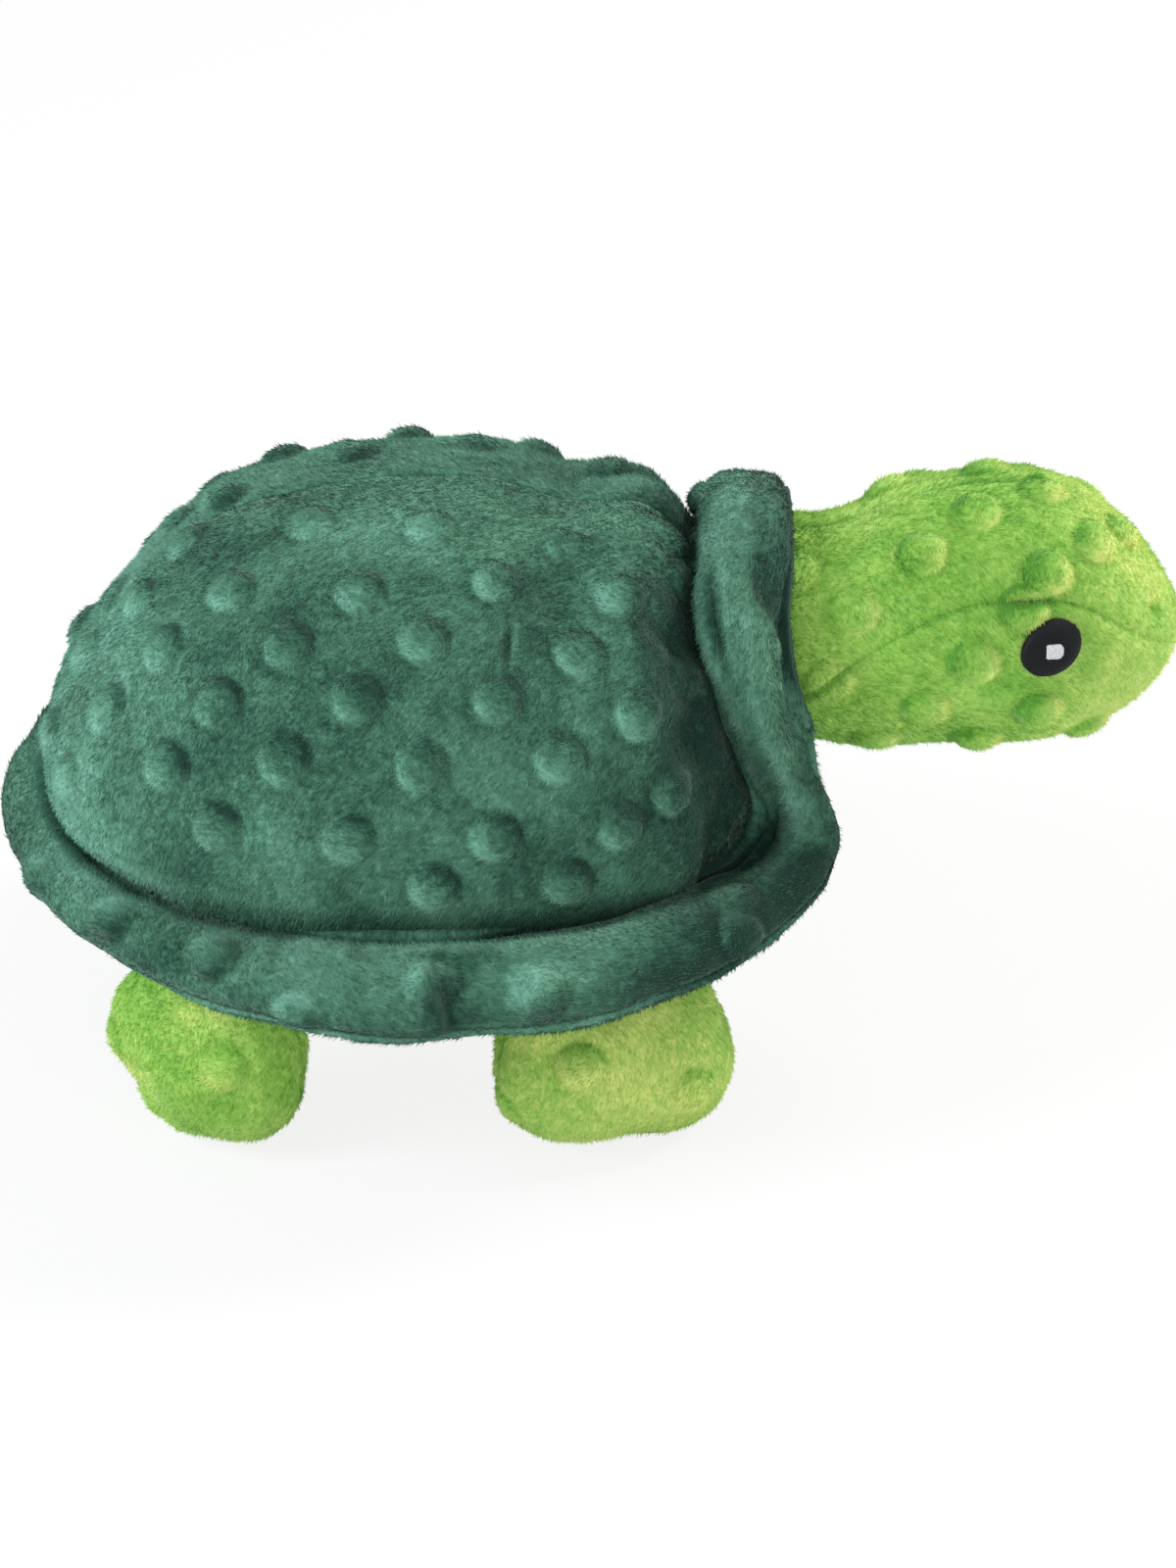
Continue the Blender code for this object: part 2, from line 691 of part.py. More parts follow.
def make_eyes():
    """Stitched eyes and their glints, as pads that follow the cheek."""
    skins = []
    for name, outset in (
        ("cheek", TOUCH_GAP),
        ("eye_face", TOUCH_GAP + EYE_RAISE),
        ("glint_seat", 2 * TOUCH_GAP + EYE_RAISE),
        ("glint_face", 2 * TOUCH_GAP + EYE_RAISE + GLINT_RAISE),
    ):
        skins.append(cutter(name, head_mesh(name, -outset, False)))
    cheek, eye_face, glint_seat, glint_face = skins
    for side in ("right", "left"):
        middle, look = eye_axis(side)
        eye = add(f"eye_{side}", rod_mesh(f"eye_{side}", middle, look, EYE_RADIUS, EYE_SIDES), black, nod)
        combine(eye, eye_face, "INTERSECT")
        combine(eye, cheek, "DIFFERENCE")
        at = middle + Vector((GLINT_FORWARD, 0, 0))
        name = f"eye_glint_{side}"
        glint = add(name, rod_mesh(name, at, look, GLINT_RADIUS, GLINT_SIDES), white, nod)
        combine(glint, glint_face, "INTERSECT")
        combine(glint, glint_seat, "DIFFERENCE")


def hinge_place(end):
    """Hinge of a left leg: just under the belly, so that the root almost touches it."""
    x, y = FRONT_HINGE_SHARES if end == "front" else REAR_HINGE_SHARES
    depth = (1 - abs(x) ** BODY_FULLNESS - abs(y) ** BODY_FULLNESS) ** (1 / BODY_FULLNESS)
    belly = SEAM_HEIGHT - BELLY_DROP * depth
    return Vector((x * shell_length(x), y * SHELL_HALF_WIDTH, belly - LEG_ROOT_RADIUS - LEG_SEAM_GAP))


def leg_rings(end, inset):
    """Rings of a leg in its own frame: x along the hinge, y outwards, z up, the hinge at zero.

    The cloth's outer face, at no inset, starts with the rounded root. What lies in it doesn't.
    """
    length = hinge_place(end).z
    lean = FRONT_FOOT_LEAN if end == "front" else REAR_FOOT_LEAN
    half_width = (FRONT_LEG_WIDTH_SHARE if end == "front" else REAR_LEG_WIDTH_SHARE) * LEG_HALF_WIDTH
    rings = []
    if inset == 0:
        for turn in section_turns(0, math.pi / 2, LEG_ROOT_STEPS)[1:]:
            width, thickness = LEG_ROOT_WIDTH_SHARE * half_width, LEG_ROOT_RADIUS * math.sin(turn)
            across = oval(LEG_SIDES, width, thickness, LEG_FULLNESS)
            rings.append([Vector((x, y, LEG_ROOT_RADIUS * math.cos(turn))) for x, y in across])
    for depth, width, thickness, reached in LEG_STATION_SHARES:
        width, thickness = width * half_width - inset, thickness * LEG_HALF_THICKNESS - inset
        height = -inset - depth * (length - 2 * inset)
        across = oval(LEG_SIDES, width, thickness, LEG_FULLNESS)
        rings.append([Vector((x + lean * reached, y, height)) for x, y in across])
    width, thickness = LEG_SOLE_WIDTH_SHARE * half_width, LEG_SOLE_THICKNESS_SHARE * LEG_HALF_THICKNESS
    sole = oval(LEG_SIDES, width, thickness, LEG_FULLNESS)
    rings.append([Vector((x + lean, y, inset - length)) for x, y in sole])
    return rings


def make_leg(end, side):
    """Outer and inner panel of one leg, and its fibre, hung on an empty at the hinge."""
    sign = -1 if side == "right" else 1
    x, y, z = hinge_place(end)
    hinge = empty(f"leg_{end}_{side}_hinge", (x, sign * y, z), toy)
    # The leg's x runs along the hinge towards the nose and its y outwards, on either side of the toy.
    heading = FRONT_LEG_HEADING if end == "front" else REAR_LEG_HEADING
    hinge_turn = Matrix.Rotation(math.radians(heading - 90), 4, "Z")
    frame = Matrix.Translation(hinge.location) @ Matrix.Diagonal((1, sign, 1, 1)) @ hinge_turn

    def moved(mesh):
        mesh.transform(frame)
        if sign < 0:
            mesh.flip_normals()
        return mesh

    def skin(name, inset):
        return moved(loft(name, leg_rings(end, inset), first=True, last=True))

    reach = 2 * z
    stem = f"leg_{end}_{side}"
    room = cutter(f"{stem}_room", skin(f"{stem}_room", FABRIC), hinge)
    for face, low, high in (("outer", SEAM_GAP / 2, reach), ("inner", -reach, -SEAM_GAP / 2)):
        name = f"{stem}_{face}_panel"
        half = moved(box_mesh(f"{name}_half", (-reach, low, -reach), (reach, high, reach)))
        panel = add(name, skin(name, 0), lime, hinge)
        combine(panel, cutter(f"{name}_half", half, hinge), "INTERSECT")
        combine(panel, room, "DIFFERENCE")
    add(f"{stem}_fill", skin(f"{stem}_fill", FABRIC + LEG_FILL_GAP), fibre, hinge)


def middle_x():
    """Middle of the toy's length, from the back of the brim to the nose."""
    turns = section_turns(0, 2 * math.pi, BRIM_SECTION_SIDES)
    rear = min(point.x for point in brim_rings(turns, 0)[0])
    return (rear + NECK.x + HEAD_LENGTH) / 2


clear_scene()
parts = new_collection("plush_turtle")
cutters = new_collection("cutters")
toy = bpy.data.objects.new("turtle", None)
parts.objects.link(toy)
turn = empty("head_turn_axis", NECK, toy)
nod = empty("head_nod_axis", (0, 0, 0), turn)

green = material("shell_plush", SHELL_GREEN, PLUSH_ROUGHNESS)
lime = material("skin_plush", BELLY_LIME, PLUSH_ROUGHNESS)
fibre = material("fill_fibre", FIBRE_WHITE, FIBRE_ROUGHNESS)
black = material("eye_thread", THREAD_BLACK, THREAD_ROUGHNESS)
white = material("glint_thread", THREAD_WHITE, THREAD_ROUGHNESS)

FAR = SHELL_FRONT_LENGTH + SHELL_REAR_LENGTH + HEAD_LENGTH
half_spaces = {
    "right": cutter("right_half", box_mesh("right_half", (-FAR, -FAR, -FAR), (FAR, -SEAM_GAP / 2, FAR))),
    "left": cutter("left_half", box_mesh("left_half", (-FAR, SEAM_GAP / 2, -FAR), (FAR, FAR, FAR))),
}

make_body()
make_brim()
make_head()
make_eyes()
for leg_end in ("front", "rear"):
    for leg_side in ("right", "left"):
        make_leg(leg_end, leg_side)

toy.location.x = -middle_x()
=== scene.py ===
"""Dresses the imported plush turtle: dimple plush over stuffed forms, with stitched eyes.

Metres, +Z up, +X towards the nose, +Y to the turtle's left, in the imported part's frame. Each cover is
a grid of points that follows the part's form. Its dots, seams and folds are moves of those points, and
tufts of fibre stand on it.
"""

import itertools
import json
import math

import bmesh
import bpy
import numpy as np
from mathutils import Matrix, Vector


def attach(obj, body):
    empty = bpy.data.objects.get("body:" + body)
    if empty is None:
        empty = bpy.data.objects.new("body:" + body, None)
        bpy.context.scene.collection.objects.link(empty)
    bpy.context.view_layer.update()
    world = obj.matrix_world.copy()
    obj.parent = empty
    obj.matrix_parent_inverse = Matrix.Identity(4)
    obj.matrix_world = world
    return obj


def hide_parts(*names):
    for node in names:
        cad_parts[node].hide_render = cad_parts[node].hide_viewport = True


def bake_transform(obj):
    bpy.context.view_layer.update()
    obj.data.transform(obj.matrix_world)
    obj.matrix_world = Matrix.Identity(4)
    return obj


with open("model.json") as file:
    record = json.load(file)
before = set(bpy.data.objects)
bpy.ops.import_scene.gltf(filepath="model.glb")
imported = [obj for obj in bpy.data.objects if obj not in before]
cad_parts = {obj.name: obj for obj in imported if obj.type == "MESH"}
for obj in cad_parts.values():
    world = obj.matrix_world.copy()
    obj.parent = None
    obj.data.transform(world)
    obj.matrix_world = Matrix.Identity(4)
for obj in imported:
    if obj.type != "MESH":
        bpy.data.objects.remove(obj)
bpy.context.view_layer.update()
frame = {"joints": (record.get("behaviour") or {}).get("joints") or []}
joints = {joint["name"]: joint for joint in frame["joints"]}

# Sizes of the sewn forms, as in the part's source
NECK = np.array(joints["head_turn"]["pos_m"])
SEAM_HEIGHT = 0.050
SHELL_REAR_LENGTH = 0.067
SHELL_FRONT_LENGTH = 0.072
SHELL_HALF_WIDTH = 0.059
SHELL_RISE = 0.0685
BELLY_DROP = 0.0165
SHELL_LEAN = 0.005
BODY_FULLNESS = 2.3
CHEST_EDGE_LOW_SETBACK = 0.0035
CHEST_EDGE_HIGH_SETBACK = 0.0095
NECK_SETBACK = 0.0005
NECK_RADIUS = 0.0222
NECK_POCKET_FLARE = 0.0035
COLLAR_CLEARANCE = 0.0012
COLLAR_LEAN = 0.0055
COLLAR_DROP = 0.0038
BRIM_HALF_WIDTH = 0.0115
BRIM_HALF_THICKNESS = 0.0068
BRIM_TIP_THINNING = 0.25
BRIM_STATIONS = (
    (-0.995, 0.000, 0.000, 180.0, -10.0, 1.00, 1.00),
    (-0.895, 0.545, -0.010, 150.0, -16.0, 1.00, 1.00),
    (-0.540, 0.935, -0.030, 120.0, -27.0, 1.00, 1.04),
    (0.000, 1.110, -0.050, 90.0, -34.0, 1.02, 1.04),
    (0.502, 0.975, -0.040, 60.0, -32.0, 1.00, 1.02),
    (0.800, 0.745, 0.000, 38.0, -22.0, 1.00, 0.98),
    (0.972, 0.560, 0.090, 22.0, -8.0, 0.98, 0.90),
    (0.972, 0.490, 0.270, 10.0, 4.0, 0.90, 0.82),
    (0.903, 0.490, 0.490, 5.0, 6.0, 0.86, 0.78),
    (0.861, 0.385, 0.720, 3.0, 8.0, 0.86, 0.74),
    (0.864, 0.215, 0.840, 1.0, 10.0, 0.86, 0.74),
    (0.866, 0.000, 0.880, 0.0, 10.0, 0.86, 0.74),
)
HEAD_LENGTH = 0.0725
HEAD_HALF_HEIGHT = 0.0270
HEAD_WIDTH_SHARE = 0.95
HEAD_STATIONS = (
    (0.130, 0.860, 0.010),
    (0.240, 0.945, 0.095),
    (0.390, 0.985, 0.160),
    (0.545, 1.000, 0.178),
    (0.695, 0.920, 0.182),
    (0.825, 0.745, 0.160),
    (0.915, 0.530, 0.128),
    (0.972, 0.280, 0.100),
    (1.000, 0.000, 0.085),
)
HEAD_SEAM = (
    (-0.40, -0.55),
    (-0.02, -0.20),
    (0.20, 0.28),
    (0.38, 0.56),
    (0.53, 0.63),
    (0.69, 0.58),
    (0.84, 0.30),
    (0.96, 0.04),
    (1.10, -0.15),
)
LEG_HALF_WIDTH = 0.0225
LEG_HALF_THICKNESS = 0.0135
LEG_ROOT_RADIUS = 0.0025
LEG_ROOT_WIDTH = 0.66
LEG_FULLNESS = 2.2
LEG_SEAM_GAP = 0.0010
LEG_STATIONS = (
    (0.13, 0.78, 0.45, 0.05),
    (0.30, 0.93, 0.80, 0.20),
    (0.50, 1.00, 1.00, 0.45),
    (0.70, 0.98, 0.98, 0.72),
    (0.86, 0.86, 0.80, 0.90),
    (0.96, 0.64, 0.52, 0.98),
    (1.00, 0.44, 0.34, 1.00),
    (1.00, 0.00, 0.00, 1.00),
)
LEG_WIDTHS = {"front": 1.0, "rear": 0.92}
FOOT_LEANS = {"front": 0.001, "rear": -0.001}
LEGS = tuple(itertools.product(("front", "rear"), ("right", "left")))

# Cloth: how thick it is, how far its face lies inside the form so that the pile reaches it, and its dots
FABRIC = 0.0018
PILE_ROOM = 0.0008
DOT_RADIUS = 0.0047
DOT_HEIGHT = 0.0020
SEAM_DEPTH = 0.0008
SEAM_WIDTH = 0.0011
BACKING_STEP = 4
STUFFING_INSET = 0.0060

# Pile: tufts of fibre for each square metre of cloth, a tuft's length and half width, and its shades
TUFTS = 3_200_000.0
TUFT_LENGTH = 0.0011
TUFT_WIDTH = 0.00011
SHADES = (0.20, 0.34, 0.46, 0.58, 0.70, 0.84)

# Unevenness, as height, size of a lump and number of the pattern
CLOTH_WAVES = ((0.0007, 0.026, 1), (0.0004, 0.011, 2))
PILE_WAVES = ((0.00012, 0.0022, 4), (0.00005, 0.0011, 5))
FIBRE_WAVES = ((0.0014, 0.012, 20), (0.0006, 0.004, 21))

MIDDLE = np.array([NECK[0] - SHELL_FRONT_LENGTH + NECK_SETBACK, 0.0, SEAM_HEIGHT])
UP = np.array([0.0, 0.0, 1.0])


def smoothstep(low, high, x):
    t = np.clip((x - low) / (high - low), 0, 1)
    return t * t * (3 - 2 * t)


def bell(x, middle, width):
    """1 at the middle, and dying away over about the width to each side."""
    return np.exp(-(((x - middle) / width) ** 2))


def unit(v):
    return v / np.maximum(np.linalg.norm(v, axis=-1, keepdims=True), 1e-12)


def smooth_rows(rows, count):
    """A smooth curve through rows of numbers, whose first and last rows only steer the ends."""
    rows = np.asarray(rows, float)
    place_on = np.linspace(0, len(rows) - 3, count)
    k = np.minimum(place_on.astype(int), len(rows) - 4)
    t = (place_on - k)[:, None]
    a, b, c, d = (rows[k + i] for i in range(4))
    return (2 * b + (c - a) * t + (2 * a - 5 * b + 4 * c - d) * t**2 + (3 * b - a - 3 * c + d) * t**3) / 2


def evenly(rows, count, columns):
    """The rows again, evenly spaced along the line that the given columns draw."""
    steps = np.linalg.norm(np.diff(rows[:, columns], axis=0), axis=1)
    reach = np.concatenate([[0], np.cumsum(steps)])
    at = np.linspace(0, reach[-1], count)
    return np.stack([np.interp(at, reach, column) for column in rows.T], 1)


LATTICE = np.random.default_rng(7).random((32, 32, 32)) * 2 - 1


def lumps(points, size, seed=0):
    """Smooth noise from -1 to 1 in lumps of about that size, which may differ by axis."""
    p = points / size + seed * 7.31
    cell = np.floor(p).astype(int)
    f = p - cell
    f = f * f * (3 - 2 * f)
    total = np.zeros(points.shape[:-1])
    for corner in itertools.product((0, 1), repeat=3):
        share = np.prod(np.where(corner, f, 1 - f), axis=-1)
        x, y, z = np.moveaxis((cell + corner) & 31, -1, 0)
        total += share * LATTICE[x, y, z]
    return total


def unevenness(points, waves):
    return sum(height * lumps(points, size, pattern) for height, size, pattern in waves)


def slopes(grid, loop):
    """Change from point to point down and across a grid. A looped grid runs round across."""
    down = np.gradient(grid, axis=0)
    if loop:
        over = (np.roll(grid, -1, 1) - np.roll(grid, 1, 1)) / 2
    else:
        over = np.gradient(grid, axis=1)
    return down, over


def facing_out(grid, inside, loop):
    """Unit normals of a grid, away from the points inside it."""
    down, over = slopes(grid, loop)
    normal = unit(np.cross(down, over))
    for end, near in ((0, 1), (-1, -2)):
        if np.ptp(grid[end], axis=0).max() < 1e-7:
            normal[end] = unit(normal[near].mean(0))
    side = np.sign(np.median(((grid - inside) * normal).sum(-1)))
    return normal * side


def from_edges(grid, loop):
    """How far each point lies from the grid's first and last row, and from its first and last column."""
    down = np.linalg.norm(np.diff(grid, axis=0), axis=-1)
    top = np.concatenate([np.zeros((1, grid.shape[1])), np.cumsum(down, axis=0)])
    over = np.linalg.norm(np.diff(grid, axis=1), axis=-1)
    left = np.concatenate([np.zeros((grid.shape[0], 1)), np.cumsum(over, axis=1)], axis=1)
    if loop:
        return top, top[-1] - top, np.full(top.shape, 1.0), np.full(top.shape, 1.0), left
    return top, top[-1] - top, left, left[:, -1:] - left, left


# What a point with no dot near it is given, in dot radii
NO_DOT_NEAR = 9.0


def raised_dots(points, centres):
    """Height of the plush's dots over points, how far each point is from its nearest dot in dot radii,
    and which dot that is."""
    near = np.full(points.shape[:-1], NO_DOT_NEAR)
    which = np.zeros(points.shape[:-1], int)
    for k, centre in enumerate(centres):
        distance = np.linalg.norm(points - centre, axis=-1) / DOT_RADIUS
        which[distance < near] = k
        near = np.minimum(near, distance)
    if not len(centres):
        return 0 * near, near, which
    strength = 0.85 + 0.4 * lumps(np.array(centres), 0.013, 8)
    edge = near + 0.06 * lumps(points, 0.003, 9)
    puff = np.clip(1 - np.abs(edge) ** 2.4, 0, 1) ** 0.8 * np.clip(strength, 0.5, 1.1)[which]
    return DOT_HEIGHT * (puff - 0.05 * bell(edge, 1.15, 0.18)), near, which


def quads(number, span):
    """The faces between the numbered points of a grid, for that many columns of faces."""
    first, after = number[:, :span], np.roll(number, -1, 1)[:, :span]
    return np.stack([first[:-1], first[1:], after[1:], after[:-1]], -1).reshape(-1, 4)


def skin(name, outer, normal, thickness, loop, values):
    """A mesh with that fine outer face and, for cloth, a coarser inner face and the rim between them."""
    rows, columns = outer.shape[:2]
    span = columns if loop else columns - 1
    number = np.arange(rows * columns).reshape(rows, columns)
    faces = quads(number, span).tolist()
    points = [outer.reshape(-1, 3)]
    fields = {key: [value.reshape(len(points[0]), -1)] for key, value in values.items()}
    if thickness is not None:
        step = BACKING_STEP
        inner = (outer - normal * thickness)[::step, ::step]
        inside = number.size + np.arange(inner[..., 0].size).reshape(inner.shape[:2])
        faces += quads(inside, span // step)[:, [0, 3, 2, 1]].tolist()
        points.append(inner.reshape(-1, 3))
        for key, value in values.items():
            flat = value[::step, ::step].reshape(len(points[1]), -1)
            fields[key].append(flat * 0 if key == "pile" else flat)
        wrapped = np.concatenate([number, number[:, :1]], 1) if loop else number
        inside_wrapped = np.concatenate([inside, inside[:, :1]], 1) if loop else inside
        edges = [(wrapped[0], inside_wrapped[0], 1), (wrapped[-1], inside_wrapped[-1], -1)]
        if not loop:
            edges += [(number[:, 0], inside[:, 0], -1), (number[:, -1], inside[:, -1], 1)]
        for fine, coarse, way in edges:
            for k in range(len(coarse) - 1):
                strip = [*fine[k * step : (k + 1) * step + 1], coarse[k + 1], coarse[k]]
                faces.append([int(i) for i in strip[::way]])
    mesh = bpy.data.meshes.new(name)
    mesh.from_pydata(np.concatenate(points).tolist(), [], faces)
    for key, parts in fields.items():
        flat = np.concatenate(parts)
        kind, part = ("FLOAT_VECTOR", "vector") if flat.shape[1] == 3 else ("FLOAT", "value")
        made = mesh.attributes.new(key, kind, "POINT")
        made.data.foreach_set(part, flat.astype(np.float32).ravel())
    work = bmesh.new()
    work.from_mesh(mesh)
    bmesh.ops.remove_doubles(work, verts=work.verts, dist=1e-7)
    bmesh.ops.recalc_face_normals(work, faces=work.faces)
    work.to_mesh(mesh)
    work.free()
    mesh.shade_smooth()
    return mesh


# node trees


class Value:
    """A node's output. A sum with it adds the Math node that works the sum out."""

    def __init__(self, tree, socket):
        self.tree, self.socket = tree, socket

    def maths(self, operation, *others):
        return self.tree.make("ShaderNodeMath", {"operation": operation}, self, *others)

    def __add__(self, other):
        return self.maths("ADD", other)

    def __sub__(self, other):
        return self.maths("SUBTRACT", other)

    def __rsub__(self, other):
        return self.tree.make("ShaderNodeMath", {"operation": "SUBTRACT"}, other, self)

    def __mul__(self, other):
        return self.maths("MULTIPLY", other)

    __radd__ = __add__
    __rmul__ = __mul__


class Tree:
    """A node tree that is written as expressions."""

    def __init__(self, tree):
        self.tree = tree

    def make(self, kind, settings, *values, output=0, **named):
        node = self.tree.nodes.new(kind)
        for key, value in settings.items():
            if key == "stops":
                ramp = node.color_ramp.elements
                while len(ramp) < len(value):
                    ramp.new(0.5)
                for element, (at, colour) in zip(ramp, value):
                    element.position, element.color = at, (*colour, 1.0)
            else:
                setattr(node, key, value)
        for socket, value in zip(node.inputs, values):
            self.feed(socket, value)
        self.fit(node, **named)
        return Value(self, node.outputs[output])

    def feed(self, socket, value):
        if isinstance(value, Value):
            self.tree.links.new(value.socket, socket)
        elif value is not None:
            socket.default_value = value

    def fit(self, node, **named):
        """Links or sets a node's sockets by name, with _ for a space."""
        for key, value in named.items():
            self.feed(node.inputs[key.replace("_", " ")], value)

    def place(self):
        return self.make("ShaderNodeTexCoord", {}, output="Object")

    def attribute(self, name, output="Fac"):
        settings = {"attribute_type": "GEOMETRY", "attribute_name": name}
        return self.make("ShaderNodeAttribute", settings, output=output)

    def noise(self, vector, scale, detail=2.0, distortion=0.0):
        return self.make(
            "ShaderNodeTexNoise", {}, Vector=vector, Scale=scale, Detail=detail, Distortion=distortion
        )

    def scaled(self, vector, by):
        return self.make("ShaderNodeVectorMath", {"operation": "MULTIPLY"}, vector, by)

    def colours(self, factor, stops):
        return self.make("ShaderNodeValToRGB", {"stops": stops}, factor)

    def bump(self, strength, distance, height):
        return self.make("ShaderNodeBump", {}, Strength=strength, Distance=distance, Height=height)


def new_material(name):
    """A material, its tree, and its Principled shader."""
    made = bpy.data.materials.new(name)
    made.use_nodes = True
    return made, Tree(made.node_tree), made.node_tree.nodes["Principled BSDF"]


# Streaks and twists for each metre, along and across the pile or by axis
STREAKS = (620.0, 1500.0, 0.0)
FINE_STREAKS = (1400.0, 3800.0, 0.0)
PLY = (2600.0, 2600.0, 5200.0)


def plush(name, stops, tint):
    """Short dimple plush: blotches, and streaks along the lay of the pile. Its tone is lighter or darker
    where the pile opens or lies shut on the dots' slopes. That is partly the pile's own lay and partly
    painted light and shade on the dots' sides. The tone also takes painted shade and light from the hollow
    attribute."""
    made, tree, shader = new_material(name)
    cloth = tree.attribute("cloth", "Vector")
    # The tone carries the painted light and shade of both attributes
    tone = pile_tone(tree, tree.place(), tree.attribute("nap"), tree.attribute("hollow"))
    streak = tree.noise(tree.scaled(cloth, STREAKS), 1.0, 3.0, 0.5)
    fine = tree.noise(tree.scaled(cloth, FINE_STREAKS), 1.0, 2.0, 0.3)
    tone = tone + (streak - 0.5) * 0.5 + (fine - 0.5) * 0.3
    tree.fit(
        shader, Base_Color=tree.colours(tone, stops), Roughness=0.80 + (streak - 0.5) * 0.3,
        Normal=tree.bump(0.65, 0.0006, streak * 0.75 + fine * 0.35),
    )
    velvet(tree, shader, tint)
    return made


def pile_tone(tree, place, nap, hollow):
    """Tone of the pile from 0, dark, to 1, light: the same for the cloth and the tufts that stand on it.
    Besides random blotches and clumps, it holds painted light and shade: the dots' lit and shaded sides,
    and hollow's painted shade, which is painted light where it is below 0.
    """
    blotch = tree.noise(place, 48.0, 3.0, 0.5)
    clump = tree.noise(place, 620.0, 3.0, 0.8)
    # Painted light and shade: the dots' sides by their slope, and hollow
    return 0.5 + (blotch - 0.5) * 0.75 + (clump - 0.5) * 0.62 + nap * 0.38 - hollow * 0.42


def velvet(tree, shader, tint):
    tree.fit(
        shader, Sheen_Weight=0.45, Sheen_Roughness=0.40, Sheen_Tint=(*tint, 1.0), Specular_IOR_Level=0.12
    )


def thread(name, dark, light):
    """Twisted thread, with a fine ply across it."""
    made, tree, shader = new_material(name)
    ply = tree.noise(tree.scaled(tree.place(), PLY), 1.0, 2.0, 0.5)
    tree.fit(
        shader, Base_Color=tree.colours(ply, ((0.3, dark), (0.75, light))),
        Roughness=0.7 + (ply - 0.5) * 0.3, Normal=tree.bump(0.4, 0.0002, ply), Specular_IOR_Level=0.25,
    )
    return made


def wadding(name):
    """White polyester fibre in curls."""
    made, tree, shader = new_material(name)
    curl = tree.noise(tree.place(), 300.0, 6.0, 2.5)
    white = tree.colours(curl, ((0.25, (0.62, 0.62, 0.60)), (0.75, (0.86, 0.86, 0.84))))
    rough = 0.9 + (curl - 0.5) * 0.1
    tree.fit(shader, Base_Color=white, Roughness=rough, Normal=tree.bump(0.8, 0.0015, curl))
    return made


def pile_shade(name, colour, tint):
    """A tuft's fibre, in one shade of its cloth."""
    made, tree, shader = new_material(name)
    tree.fit(shader, Base_Color=(*colour, 1.0), Roughness=0.8)
    velvet(tree, shader, tint)
    return made


def ramp_colour(stops, at):
    """The colour that a ramp of those stops has at a place on it."""
    places = [stop[0] for stop in stops]
    return [float(np.interp(at, places, channel)) for channel in zip(*(stop[1] for stop in stops))]


def geometry_tree(name, inputs):
    """A tree of geometry nodes for a mesh, and its inputs, of which the names and kinds are given."""
    group = bpy.data.node_groups.new(name, "GeometryNodeTree")
    for label, kind in {"Geometry": "Geometry", **inputs}.items():
        group.interface.new_socket(label, in_out="INPUT", socket_type=f"NodeSocket{kind}")
    group.interface.new_socket("Geometry", in_out="OUTPUT", socket_type="NodeSocketGeometry")
    tree = Tree(group)
    sockets = group.nodes.new("NodeGroupInput").outputs
    return group, tree, {socket.name: Value(tree, socket) for socket in sockets if socket.name}


